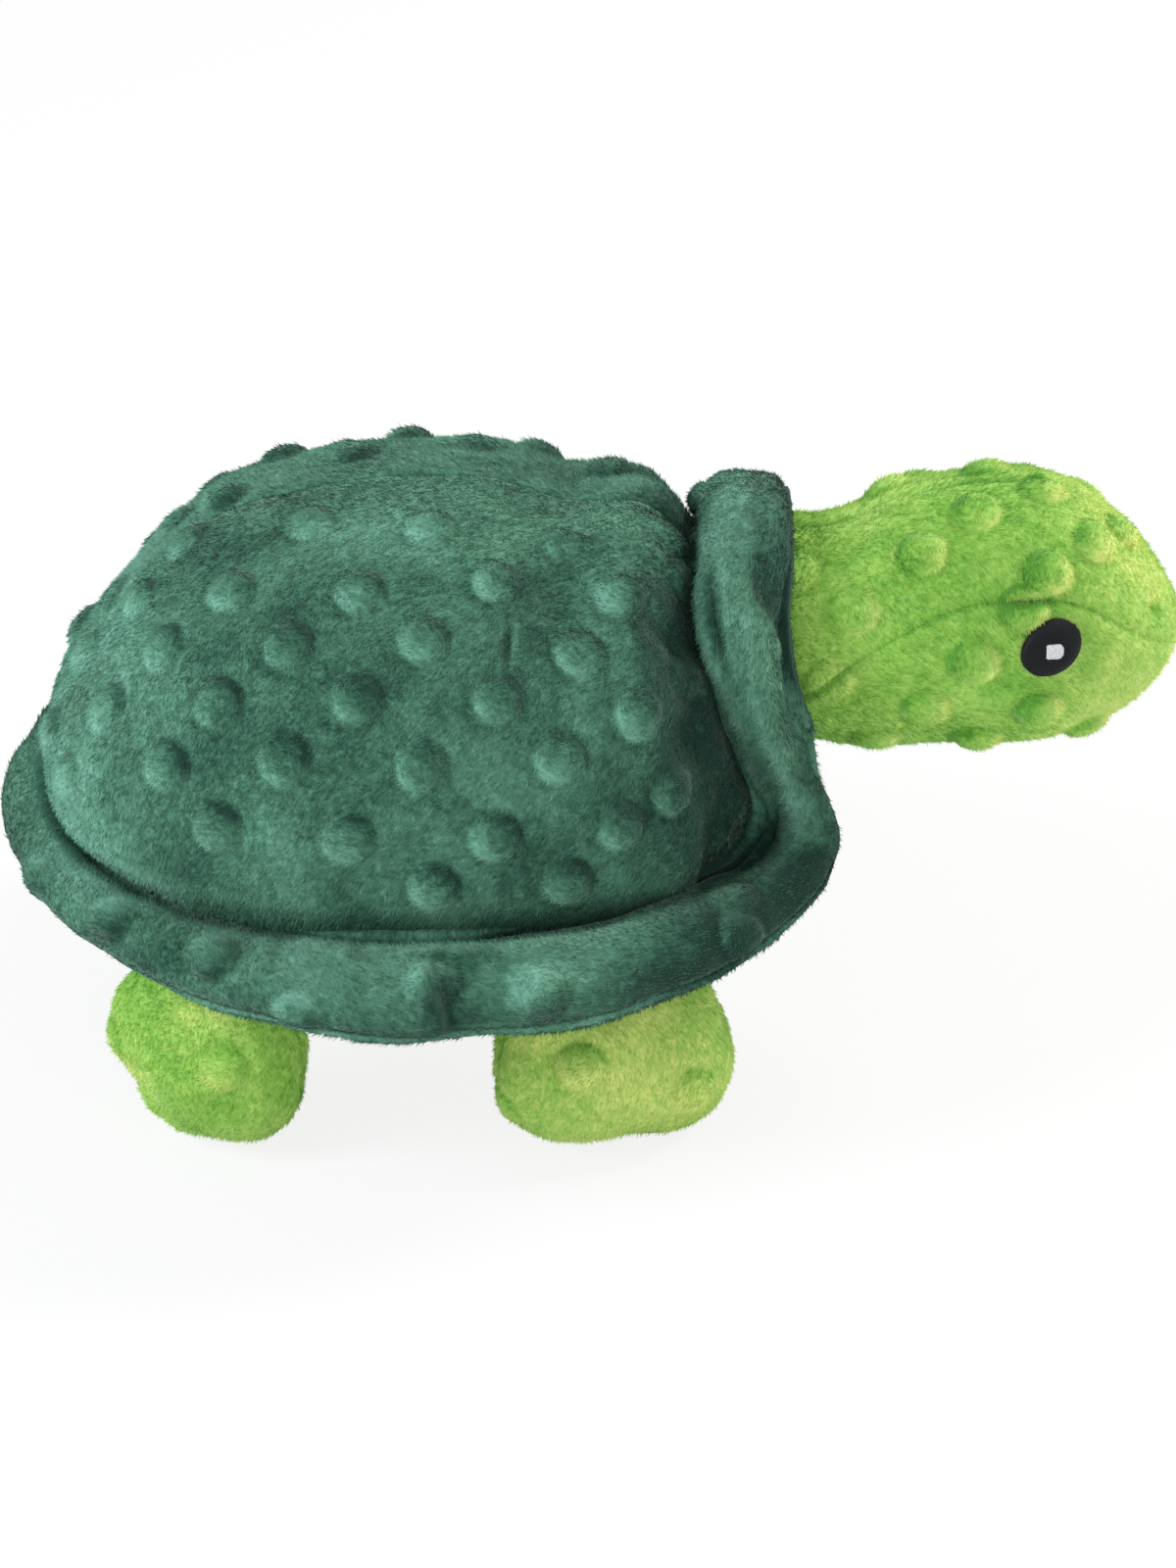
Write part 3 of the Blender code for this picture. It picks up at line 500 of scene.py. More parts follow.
def pile_nodes():
    """A tree that stands tufts on a cover along its lay, in a few shades, and leaves only the tufts."""
    inputs = {"Density": "Float", "Length": "Float", "Width": "Float", "Seed": "Int"}
    inputs |= {f"Shade {k}": "Material" for k in range(len(SHADES))}
    group, tree, given = geometry_tree("pile", inputs)

    def named(name, kind="FLOAT"):
        return tree.make("GeometryNodeInputNamedAttribute", {"data_type": kind}, Name=name)

    def kept(geometry, name, kind, value):
        settings = {"data_type": kind, "domain": "POINT"}
        return tree.make("GeometryNodeStoreNamedAttribute", settings, geometry, None, name, value)

    def vector(operation, *values, **named_values):
        return tree.make("ShaderNodeVectorMath", {"operation": operation}, *values, **named_values)

    def chance(low, high, seed):
        settings = {"data_type": "FLOAT"}
        return tree.make("FunctionNodeRandomValue", settings, None, None, low, high, Seed=seed, output=1)

    points = tree.make(
        "GeometryNodeDistributePointsOnFaces", {"distribute_method": "RANDOM"},
        Mesh=given["Geometry"], Density=given["Density"] * named("pile"), Seed=given["Seed"],
    )
    normal = Value(tree, points.socket.node.outputs["Normal"])
    settings = {"data_type": "FLOAT_VECTOR"}
    wild = tree.make("FunctionNodeRandomValue", settings, (-1, -1, -1), (1, 1, 1), Seed=given["Seed"])
    lying = vector("ADD", named("lay", "FLOAT_VECTOR"), vector("SCALE", wild, Scale=0.55))
    way = vector("ADD", vector("SCALE", normal, Scale=0.55), lying)
    turned = tree.make("FunctionNodeAlignRotationToVector", {"axis": "Z"}, Vector=way)
    # The tufts take the cloth's tone, painted light and shade included
    tone = pile_tone(tree, tree.make("GeometryNodeInputPosition", {}), named("nap"), named("hollow"))
    tone = tone + chance(-0.05, 0.10, given["Seed"])
    marked = kept(points, "shade", "FLOAT", tone)
    facing = vector("ADD", normal, vector("SCALE", wild, Scale=0.30))
    marked = kept(marked, "facing", "FLOAT_VECTOR", facing)
    cone = tree.make(
        "GeometryNodeMeshCone", {"fill_type": "NGON"}, Vertices=3, Side_Segments=1, Fill_Segments=1,
        Radius_Top=0.0, Radius_Bottom=given["Width"], Depth=given["Length"],
    )
    cone = tree.make("GeometryNodeSetMaterial", {}, Geometry=cone, Material=given["Shade 0"])
    tufts = tree.make(
        "GeometryNodeInstanceOnPoints", {},
        Points=marked, Instance=cone, Rotation=turned, Scale=chance(0.6, 1.25, given["Seed"] + 1),
    )
    solid = tree.make("GeometryNodeRealizeInstances", {}, tufts)
    solid = tree.make(
        "GeometryNodeSetMeshNormal", {"mode": "FREE", "domain": "POINT"},
        Mesh=solid, Custom_Normal=named("facing", "FLOAT_VECTOR"),
    )
    for k, (low, high) in enumerate(zip(SHADES, SHADES[1:]), 1):
        settings = {"data_type": "FLOAT", "operation": "GREATER_THAN"}
        above = tree.make("FunctionNodeCompare", settings, named("shade"), (low + high) / 2)
        shade = given[f"Shade {k}"]
        solid = tree.make("GeometryNodeSetMaterial", {}, Geometry=solid, Selection=above, Material=shade)
    tree.feed(group.nodes.new("NodeGroupOutput").inputs[0], solid)
    return group


def satin_nodes():
    """A tree that lays a thread along each line of a mesh of edges."""
    group, tree, given = geometry_tree("satin", {"Width": "Float", "Thread": "Material"})
    lines = tree.make("GeometryNodeMeshToCurve", {}, given["Geometry"])
    section = tree.make("GeometryNodeCurvePrimitiveCircle", {}, 6, Radius=given["Width"])
    solid = tree.make("GeometryNodeCurveToMesh", {}, lines, section, Fill_Caps=True)
    solid = tree.make("GeometryNodeRealizeInstances", {}, solid)
    solid = tree.make("GeometryNodeSetMaterial", {}, Geometry=solid, Material=given["Thread"])
    tree.feed(group.nodes.new("NodeGroupOutput").inputs[0], solid)
    return group


def grown(source, tree, name, **sizes):
    """What a tree of geometry nodes makes from an object, as a plain mesh."""
    carrier = bpy.data.objects.new(name, source)
    bpy.context.scene.collection.objects.link(carrier)
    modifier = carrier.modifiers.new(name, "NODES")
    modifier.node_group = tree
    for socket in tree.interface.items_tree:
        if socket.in_out == "INPUT" and socket.name in sizes:
            modifier[socket.identifier] = sizes[socket.name]
    bpy.context.view_layer.update()
    made = bpy.data.meshes.new_from_object(carrier.evaluated_get(bpy.context.evaluated_depsgraph_get()))
    bpy.data.objects.remove(carrier)
    made.name = name
    return made


# Colours of the cloth from dark to light, and of the sheen on it. The tone that picks a colour holds
# painted light and shade besides the pile's own blotches.
STOPS = {
    "shell": (
        (0.10, (0.012, 0.046, 0.032)),
        (0.35, (0.040, 0.128, 0.082)),
        (0.60, (0.094, 0.252, 0.166)),
        (0.92, (0.200, 0.450, 0.336)),
    ),
    "skin": (
        (0.10, (0.090, 0.290, 0.035)),
        (0.35, (0.200, 0.460, 0.062)),
        (0.60, (0.360, 0.610, 0.120)),
        (0.92, (0.690, 0.800, 0.235)),
    ),
}
TINTS = {"shell": (0.66, 0.86, 0.76), "skin": (0.88, 0.95, 0.60)}
plushes = {kind: plush(f"{kind}_plush", STOPS[kind], TINTS[kind]) for kind in STOPS}
# Six tones of each cloth for the tufts, picked by a tone that holds painted light and shade as well as
# random blotches
pile_shades = {
    kind: [
        pile_shade(f"{kind}_pile_{k}", ramp_colour(stops, at), TINTS[kind]) for k, at in enumerate(SHADES)
    ]
    for kind, stops in STOPS.items()
}
pile = pile_nodes()
satin = satin_nodes()
stuffing = wadding("fill_fibre")
eye_thread = thread("eye_thread", (0.004, 0.005, 0.006), (0.014, 0.016, 0.019))
glint_thread = thread("glint_thread", (0.55, 0.56, 0.58), (0.86, 0.87, 0.90))


def cloth_places(top, over, lay, grid, near, which):
    """Places on the cloth, first along the pile's lay and then across it, which swirl round each dot."""
    long = top * math.cos(lay) + over * math.sin(lay) + 0.004 * lumps(grid, 0.020, 21)
    short = over * math.cos(lay) - top * math.sin(lay) + 0.003 * lumps(grid, 0.013, 22)
    reach = 1.4
    for k in np.unique(which[near < reach]):
        inside = (which == k) & (near < reach)
        at = np.unravel_index(np.argmin(np.where(inside, near, 9)), near.shape)
        turn = 2.4 * smoothstep(reach, 0.1, near[inside])
        a, b = long[inside] - long[at], short[inside] - short[at]
        long[inside] = long[at] + a * np.cos(turn) - b * np.sin(turn)
        short[inside] = short[at] + a * np.sin(turn) + b * np.cos(turn)
    return np.stack([long, short, 0 * long], -1)


def cover(
    name, body, replaced, grid, inside, kind, dots=(), loop=False, tucked="", lay=0.0,
    seam=1.0, line=0.45, moves=0.0, shade=0.0, hidden=False, thick=1.0, puff=1.0, cloth=FABRIC,
    floor=None, bends=None,
):
    """One panel of plush over a grid of points. tucked names the edges that run into a seam: t, b, l, r.

    lay is the way the pile lies, in radians from down the grid to across it. seam is how deep the seams
    sink, and line is how much painted shade darkens them. A line below 0 makes them lighter, where the pile
    parts.
    moves are how far each point stands out. shade is painted shade, and painted light where it is below 0.
    hidden says where no pile stands, and thick how dense it is. puff scales the height of the dots.
    cloth is how thick the cloth is, and floor a level that it lies flat on. bends, when given, leaves it
    in world space, on no body; its two points are not used.
    """
    normal = facing_out(grid, inside, loop)
    top, bottom, left, right, over = from_edges(grid, loop)
    edge = np.full(top.shape, 1.0)
    for letter, distance in (("t", top), ("b", bottom), ("l", left), ("r", right)):
        if letter in tucked:
            edge = np.minimum(edge, distance)
    tuck = np.exp(-((edge / SEAM_WIDTH) ** 1.5))
    bumps, near, which = raised_dots(grid, dots)
    bumps *= (1 - tuck) * puff
    bumps += moves
    bumps += 0.0004 * np.exp(-edge / 0.007) * (1 - tuck) * lumps(grid, 0.0055, 3)
    bumps += unevenness(grid, CLOTH_WAVES)
    height = bumps - PILE_ROOM - seam * SEAM_DEPTH * tuck
    height += unevenness(grid, PILE_WAVES)
    outer = grid + normal * height[..., None]
    if floor is not None:
        outer[..., 2] = np.maximum(outer[..., 2], floor)
    down, across = slopes(grid, loop)
    along = unit(down)
    side = unit(np.cross(normal, along))
    side *= np.sign(np.median((side * across).sum(-1)))
    turn = lay + 0.7 * lumps(grid, 0.024, 6) + 0.35 * lumps(grid, 0.007, 7)
    turn += 1.2 * smoothstep(1.3, 0.1, near)
    rise_down, rise_over = slopes(bumps[..., None], loop)
    size_down = np.maximum(np.linalg.norm(down, axis=-1), 1e-6)
    size_over = np.maximum(np.linalg.norm(across, axis=-1), 1e-6)
    slope = rise_down[..., 0] / size_down * math.cos(lay) + rise_over[..., 0] / size_over * math.sin(lay)
    values = {
        "cloth": cloth_places(top, over, lay, grid, near, which),
        # Partly the pile's lay, partly painted light and shade: the dots' sides lighter or darker by their
        # slope
        "nap": np.clip(-slope * 1.4, -1, 1),
        # Painted shade in the seams, and the painted shade and light that shade gives
        "hollow": np.clip(line * tuck + shade, -0.5, 1),
        "lay": along * np.cos(turn)[..., None] + side * np.sin(turn)[..., None],
        "pile": np.where(hidden, 0.0, np.ones(top.shape)),
    }
    mesh = skin(name, outer, normal, cloth, loop, values)
    shades = {f"Shade {k}": made for k, made in enumerate(pile_shades[kind])}
    sizes = {"Density": TUFTS * thick, "Length": TUFT_LENGTH, "Width": TUFT_WIDTH}
    tufts = grown(mesh, pile, f"{name}_pile", Seed=len(bpy.data.meshes), **sizes, **shades)
    mesh.materials.append(plushes[kind])
    dress(tufts, body, bends=bends)
    dress(mesh, body, replaced, bends)


def dress(mesh, body, replaced=None, bends=None):
    """Puts a finished mesh in the scene, on its body, or in world space on no body when bends is given, and
    hides the part that it replaces.
    """
    obj = bpy.data.objects.new(mesh.name, mesh)
    bpy.context.scene.collection.objects.link(obj)
    if bends is None:
        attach(obj, body)
    else:
        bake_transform(obj)
    if replaced is not None:
        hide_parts(replaced)


# shell and belly


def pebble(direction, inset=0.0):
    """Points of the body in directions from its middle, that far inside its surface."""
    full = (np.abs(direction) ** BODY_FULLNESS).sum(-1) ** (-1 / BODY_FULLNESS)
    x, y, z = np.moveaxis(direction * full[..., None], -1, 0)
    length = np.where(x > 0, SHELL_FRONT_LENGTH, SHELL_REAR_LENGTH) - inset
    height = np.where(z > 0, SHELL_RISE, BELLY_DROP) - inset
    return MIDDLE + np.stack(
        [x * length + SHELL_LEAN * np.maximum(z, 0), y * (SHELL_HALF_WIDTH - inset), z * height], -1
    )


def side_direction(a, b, sign):
    """Direction to a point of the shell: a from the rear over the top to the front, b down its side."""
    return np.stack([-np.cos(a) + 0 * b, sign * np.sin(a) * np.sin(b), np.sin(a) * np.cos(b)], -1)


def before_chest(point):
    """How far a point lies in front of the seam between shell and chest."""
    rise = point[..., 2] - SEAM_HEIGHT
    change = CHEST_EDGE_HIGH_SETBACK - CHEST_EDGE_LOW_SETBACK
    setback = CHEST_EDGE_LOW_SETBACK + change * rise / SHELL_RISE
    return point[..., 0] - (MIDDLE[0] + SHELL_FRONT_LENGTH - setback)


def rise_of(points):
    """Height over the seam between shell and brim, as a share of the shell's height."""
    return (points[..., 2] - SEAM_HEIGHT) / SHELL_RISE


def front_of(points):
    """Place along the body, 0 at its middle and 1 at its front."""
    return (points[..., 0] - MIDDLE[0]) / SHELL_FRONT_LENGTH


def halved(low, high, test):
    """The values between low and high at which test turns positive."""
    for _ in range(30):
        middle = (low + high) / 2
        over = test(middle) > 0
        low, high = np.where(over, low, middle), np.where(over, middle, high)
    return (low + high) / 2


# The round pocket in which the neck turns, with a little room, and how softly cloth is pushed out of it
POCKET_ROOM = 0.0008
POCKET_MIDDLE = NECK + (NECK_POCKET_FLARE, 0, 0)
POCKET_RADIUS = NECK_RADIUS + NECK_POCKET_FLARE + POCKET_ROOM
POCKET_BLEND = 0.0015


def cupped(points, room=0.0):
    """The points, pushed out of the pocket and that much further."""
    radius = POCKET_RADIUS + np.asarray(room)[..., None]
    away = points - POCKET_MIDDLE
    distance = np.linalg.norm(away, axis=-1, keepdims=True)
    pushed = (distance + radius + np.sqrt((distance - radius) ** 2 + POCKET_BLEND**2)) / 2
    moved = POCKET_MIDDLE + away / np.maximum(distance, 1e-6) * pushed
    return np.where(distance > radius + 8 * POCKET_BLEND, points, moved)


def off_pocket(grid):
    """0 on the wall of the neck's pocket, 1 a few millimetres from it."""
    return smoothstep(0.0005, 0.0045, np.linalg.norm(grid - POCKET_MIDDLE, axis=-1) - POCKET_RADIUS)


# Radians that the shell's cloth runs on: down behind the brim, and over the chest's seam into the pocket
SHELL_BEHIND_BRIM = 0.10
SHELL_INTO_POCKET = 0.19


def shell_grid(sign, rows=301, columns=133):
    """From the shell's rear over the top to its front, and from the top seam down one side."""
    b = np.linspace(0, math.pi / 2 + SHELL_BEHIND_BRIM, columns)
    level, end = np.full(columns, math.pi / 2), np.full(columns, math.pi - 0.01)
    last = halved(level, end, lambda a: before_chest(pebble(side_direction(a, b, sign))))
    first, last = np.radians(1.5), last + SHELL_INTO_POCKET * smoothstep(0.15, 0.5, b)
    a = first + np.linspace(0, 1, rows)[:, None] * (last - first)
    return cupped(pebble(side_direction(a, b[None], sign)))


# Dots of the shell, as degrees from the rear over the top and degrees down its side
SHELL_DOTS = (
    (60, 28), (71, 14), (80, 32), (90, 18), (110, 18), (100, 30), (70, 41), (90, 41), (81, 51), (101, 51),
    (60, 50), (49, 36), (41, 15), (27, 12), (38, 45), (52, 60), (71, 60), (91, 61), (110, 60), (61, 71),
    (81, 72), (102, 72), (94, 80), (113, 80), (118, 30), (112, 42), (121, 52), (128, 65), (120, 71),
    (31, 62), (20, 40), (50, 5), (130, 42), (130, 18),
)


def shell_dots(sign):
    """The far side has the near side's dots, a few degrees further on."""
    a, b = np.radians(np.array(SHELL_DOTS, float)).T
    if sign > 0:
        a, b = a + math.radians(6), np.maximum(b - math.radians(2), math.radians(6))
    return pebble(side_direction(a, b, sign))


def off_collar(grid):
    """How far points lie from the middle of the collar."""
    return np.linalg.norm(grid[..., None, :] - collar_line(), axis=-1).min(-1)


def shell_moves(grid):
    """The shell's hollow and puckers beside the collar, its full rear, and a crease in its near side."""
    away = off_collar(grid)
    rise, front = rise_of(grid), front_of(grid)
    fan = np.stack([grid[..., 0] * 0.25, grid[..., 1] * 1.4, grid[..., 2]], -1)
    off = grid - pebble(side_direction(np.radians(102), np.radians(41), -1))
    across = off[..., 0] - 0.08 * off[..., 2]
    crease = np.exp(-((across / 0.0007) ** 2) - (off[..., 2] / 0.0032) ** 4 - (off[..., 1] / 0.006) ** 4)
    hollow = 0.0042 * smoothstep(0.026, 0.011, away) * (1 - 0.9 * smoothstep(0.7, 0.9, rise))
    hollow = hollow * off_pocket(grid)
    made = 0.0013 * smoothstep(0.034, 0.012, away) * lumps(fan, 0.0065, 14) - 0.0010 * crease - hollow
    # The dome lies flat on top, rises to a lip before the collar and is full at the rear
    flat = smoothstep(-0.55, -0.25, front) * smoothstep(0.62, 0.42, front) + 0.9 * bell(front, 0.40, 0.13)
    made -= 0.0024 * flat * smoothstep(0.45, 0.85, rise)
    made += 0.0024 * bell(front, 0.73, 0.10) * smoothstep(0.72, 0.90, rise)
    rear = smoothstep(-0.40, -0.80, front)
    made += 0.0036 * rear * smoothstep(0.0, 0.14, rise) * smoothstep(0.62, 0.25, rise)
    return made - (0.0022 + 0.0030 * rear) * smoothstep(0.15, -0.02, rise)


def shell_shade(grid):
    """Painted shade: the collar's shadow on the shell beside it, the gap along the brim low down, and
    the shell towards the front. Painted light at the rear.
    """
    rise, front = rise_of(grid), front_of(grid)
    # Painted shadow of the collar on the shell beside it
    beside = smoothstep(0.030, 0.013, off_collar(grid))
    # Painted shade towards the front, painted light towards the rear
    towards = 0.30 * smoothstep(0.10, 0.60, front) - 0.60 * smoothstep(-0.45, -0.9, front)
    # Painted shade low down, in the gap along the brim
    return 0.88 * beside * smoothstep(0.95, 0.7, rise) + 0.5 * smoothstep(0.13, 0.02, rise) + towards


# How far the belly's rim lies in under the shell, and how far off the neck's pocket
BELLY_RIM_INSET = 0.0065
BELLY_RIM_ROOM = 0.0012


def belly_grid(rows=81, columns=320):
    """From the middle of the belly out to its rim, drawn in under the shell, in front up the chest."""
    phi = np.linspace(0, 2 * math.pi, columns, endpoint=False)

    def direction(theta):
        return np.stack([np.cos(phi) * np.sin(theta), np.sin(phi) * np.sin(theta), -np.cos(theta)], -1)

    level = np.full(columns, math.pi / 2)
    in_front = before_chest(pebble(direction(level))) > 0
    edge = halved(level, level * 1.9, lambda theta: -before_chest(pebble(direction(theta))))
    out = np.linspace(0, 1, rows)[:, None]
    drawn_in = BELLY_RIM_INSET * smoothstep(0.80, 0.95, out)
    points = pebble(direction(out * np.where(in_front, edge, level)), drawn_in)
    return cupped(points, BELLY_RIM_ROOM * smoothstep(0.7, 0.9, out))


# brim


def brim_line(count):
    """Middle, outward and upward directions, half width and half thickness, right round the brim."""
    rows = [list(row) for row in BRIM_STATIONS]
    before, after = list(rows[1]), list(rows[-2])
    before[1], before[3] = -before[1], 2 * rows[0][3] - before[3]
    after[1], after[3] = -after[1], -after[3]
    half = smooth_rows([before, *rows, after], count // 2 + 1)
    length = np.where(half[:, 0] > 0, SHELL_FRONT_LENGTH, SHELL_REAR_LENGTH)
    middle = MIDDLE + half[:, :3] * np.stack(np.broadcast_arrays(length, SHELL_HALF_WIDTH, SHELL_RISE), 1)
    heading, dip = np.radians(half[:, 3]), np.radians(half[:, 4])
    out = np.stack([np.cos(heading) * np.cos(dip), np.sin(heading) * np.cos(dip), np.sin(dip)], 1)
    size = np.stack([half[:, 5] * BRIM_HALF_WIDTH, half[:, 6] * BRIM_HALF_THICKNESS], 1)
    high = smoothstep(0.50, 0.85, half[:, 2])
    middle[:, 2] -= COLLAR_DROP * high
    size[:, 1] *= 1 - 0.15 * high
    mirror = np.array([1.0, -1.0, 1.0])
    middle = np.concatenate([middle, middle[-2:0:-1] * mirror])
    out = np.concatenate([out, out[-2:0:-1] * mirror])
    size = np.concatenate([size, size[-2:0:-1]])
    along = unit(np.roll(middle, -1, 0) - np.roll(middle, 1, 0))
    return middle, out, unit(np.cross(along, out)), size[:, :1], size[:, 1:]


def collar_line():
    """Points along the middle of the collar, where the brim rises over the neck."""
    middle = brim_line(240)[0]
    return middle[middle[:, 2] > SEAM_HEIGHT + 0.10 * SHELL_RISE]


# How much narrower the collar is beside the neck than its solid, as a share
COLLAR_SLIMMING = 0.34


def brim_grid(start, end, rows, columns=720):
    """The brim, whose collar leans in over the neck, and the points along its middle."""
    middle, out, up, width, thickness = brim_line(columns)
    turn = np.linspace(start, end, rows)[:, None, None]
    c, s = np.cos(turn), np.sin(turn)
    rise = rise_of(middle)[:, None]
    high, collar = smoothstep(0.50, 0.85, rise), smoothstep(0.10, 0.40, rise)
    slim = COLLAR_SLIMMING * smoothstep(0.10, 0.35, rise) * smoothstep(0.80, 0.52, rise)
    slim = slim * smoothstep(3.10, 2.50, np.abs(turn))
    grid = middle + out * (width * (1 - slim) - 0.0020 * high * smoothstep(0.3, 1.0, c)) * c
    grid = grid + up * thickness * (1 - BRIM_TIP_THINNING * c) * s
    grid = grid - up * COLLAR_LEAN * collar * (1 - 0.85 * high) * smoothstep(-0.1, 0.8, c)
    away = grid - NECK
    distance = np.linalg.norm(away, axis=-1, keepdims=True)
    room = COLLAR_CLEARANCE + 0.0018 * collar * np.sqrt(np.clip(s, 0, 1))
    return NECK + away / distance * np.maximum(distance, NECK_RADIUS + room), middle


def along_brim(grid):
    """Rise and front of the brim's middle, for each column of a grid of the brim."""
    middle = brim_line(grid.shape[1])[0]
    return rise_of(middle), front_of(middle)


def off_shell(points):
    """How far points lie outside the body's surface, roughly."""
    x, y, z = np.moveaxis(points - MIDDLE, -1, 0)
    tall = np.where(z > 0, SHELL_RISE, BELLY_DROP)
    x = x - SHELL_LEAN * np.maximum(z, 0) / SHELL_RISE
    length = np.where(x > 0, SHELL_FRONT_LENGTH, SHELL_REAR_LENGTH)
    shares = np.stack([x / length, y / SHELL_HALF_WIDTH, z / tall], -1)
    ratio = (np.abs(shares) ** BODY_FULLNESS).sum(-1) ** (1 / BODY_FULLNESS)
    return np.linalg.norm(points - MIDDLE, axis=-1) * (1 - 1 / np.maximum(ratio, 1e-6))


def face_edge(rise):
    """How many degrees over the collar its dark face towards the neck reaches, high up."""
    return 84 * smoothstep(0.52, 0.76, rise)


def collar_crease(grid, rise, degrees):
    """A crease down the upper part of the collar's back."""
    wander = 128 + 8 * lumps(grid, 0.016, 11)
    return smoothstep(0.54, 0.68, rise) * smoothstep(0.80, 0.72, rise) * bell(degrees, wander, 9)


def brim_moves(grid, turn):
    """The puff of the roll, the dark gap along the shell, the crease along the collar, and folds."""
    rise, front = along_brim(grid)
    degrees = np.degrees(turn)
    collar = smoothstep(0.10, 0.35, rise)
    corner = smoothstep(0.60, 0.90, front) * (1 - smoothstep(0.15, 0.45, rise))
    rear = smoothstep(-0.35, -0.8, front)
    # The gap along the shell, and the roll's puff beside it
    depth = (0.0030 + 0.0024 * rear + 0.0006 * corner) * (1 - collar)
    reach = 0.0080 + 0.003 * corner - 0.0036 * rear
    made = -depth * smoothstep(reach, 0.0008, off_shell(grid)) * (degrees > 60)
    made += 0.0020 * bell(degrees, 58, 34) * (1 - collar)
    # The ridge beside the collar's face, and the face's lower part drawn away
    ridge = face_edge(rise)
    made += 0.0014 * collar * bell(degrees, np.maximum(ridge + 22, 80), 24)
    lower = smoothstep(0.50, 0.66, rise) * (1 - smoothstep(0.72, 0.81, rise))
    made -= 0.0013 * lower * smoothstep(ridge + 8, ridge - 8, degrees) * (degrees > 0)
    # The collar's full back and top
    top = smoothstep(0.55, 0.85, rise)
    back = (0.0016 + 0.0022 * smoothstep(0.55, 0.75, rise)) * collar * bell(degrees, 150, 38)
    made += back * (1 - 0.6 * top) * (1 - 0.7 * smoothstep(0.74, 0.82, rise))
    made += 0.0024 * top * bell(degrees, 60, 34)
    # The underside, flatter at the rear and under the collar, the collar's rear edge, and its crease
    made -= 0.0040 * rear * bell(degrees, -30, 45)
    made -= 0.0014 * collar * bell(degrees, -35, 35)
    made -= 0.0016 * collar * smoothstep(0.80, 0.60, rise) * smoothstep(150, 172, degrees)
    made -= 0.0011 * collar_crease(grid, rise, degrees)
    # Folds across the collar, and where it turns into the brim
    along = np.stack([grid[..., 0] * 0.3, grid[..., 1], grid[..., 2] * 0.5], -1)
    made += 0.0006 * lumps(along, 0.0065, 12) * collar * smoothstep(70, 120, degrees)
    pocket = np.stack([grid[..., 0] * 0.6, grid[..., 1], grid[..., 2]], -1)
    made += 0.0012 * corner * lumps(pocket, 0.006, 15) - 0.0016 * corner * bell(degrees, 112, 30)
    made -= 0.0016 * bell(rise, 0.24, 0.15) * (front > 0) * bell(degrees, 0, 50)
    # The sewn edge
    double = bell(degrees, 17, 5) - 0.5 * bell(degrees, 7, 5)
    made -= 0.0010 * double * (1 - 0.7 * collar)
    # One fold in the near side, the puckers in the gap and the roll's own waves
    fold = grid - np.array([-0.0258, -0.0745, 0.0475])
    past = fold[..., 0] + 0.35 * fold[..., 2]
    near = np.exp(-((fold[..., 1] / 0.007) ** 4)) * smoothstep(12, 34, degrees)
    step = 0.0019 * np.tanh(past / 0.0009) * bell(past, 0, 0.012)
    made -= near * (step + 0.0008 * bell(past, 0, 0.0012))
    narrow = np.stack([grid[..., 0], grid[..., 1] * 0.7, grid[..., 2] * 0.4], -1)
    puckers = np.abs(lumps(narrow, 0.0075, 23)) - 0.3
    made -= 0.0014 * puckers * bell(degrees, 98, 26) * smoothstep(0.35, -0.2, front) * (1 - collar)
    return made + (0.0017 * lumps(grid, 0.019, 13) * (1 - 0.6 * collar) + 0.0004 * lumps(grid, 0.007, 16))


def brim_shade(grid, turn):
    """Painted shade on the collar's face towards the neck, in its crease, on its back edge, in the gap
    along the shell, in the pocket at the front corner, low at the front, and a little all over. Painted
    light on the band beside the face and at the rear.
    """
    rise, front = along_brim(grid)
    degrees = np.degrees(turn)
    # Painted shade on the collar's face towards the neck
    over = degrees - face_edge(rise) + 4 * lumps(grid, 0.01, 17)
    face = smoothstep(0.52, 0.58, rise) * smoothstep(6, -5, over) * (1 - 0.5 * smoothstep(0.76, 0.82, rise))
    # Painted light on the band beside the face
    face -= 0.30 * smoothstep(0.15, 0.4, rise) * smoothstep(0, 12, over) * smoothstep(165, 140, degrees)
    # Painted shade in the crease and on the collar's back edge
    face += 0.35 * collar_crease(grid, rise, degrees)
    face += 0.7 * smoothstep(0.10, 0.25, rise) * smoothstep(146, 160, degrees)
    # Painted shade low at the front, in the pocket at the front corner and a little all over; painted light
    # at the rear
    low = smoothstep(0.15, 0.02, rise)
    towards = smoothstep(0.40, 0.75, front) * low - 0.35 * smoothstep(-0.5, -0.9, front) + 0.10
    pocket = smoothstep(0.72, 0.9, front) * smoothstep(0.42, 0.2, rise) * smoothstep(84, 112, degrees)
    towards = towards + 0.5 * pocket
    # Painted shade in the gap along the shell
    return 0.85 * face + 0.75 * smoothstep(0.0055, 0.0, off_shell(grid)) * low * (degrees > 60) + towards


def brim_cloth(grid):
    """The cloth's thickness: in the collar, where it lies double, the form has room for a thin one only."""
    return (FABRIC - 0.0015 * smoothstep(0.05, 0.30, along_brim(grid)[0]))[..., None]


# Dots of the brim, as degrees round the body from the rear and degrees over the roll
BRIM_DOTS = ((61, 72), (76, 32), (95, 78), (109, 58), (143, 82), (139, 45), (28, 48), (44, 66))


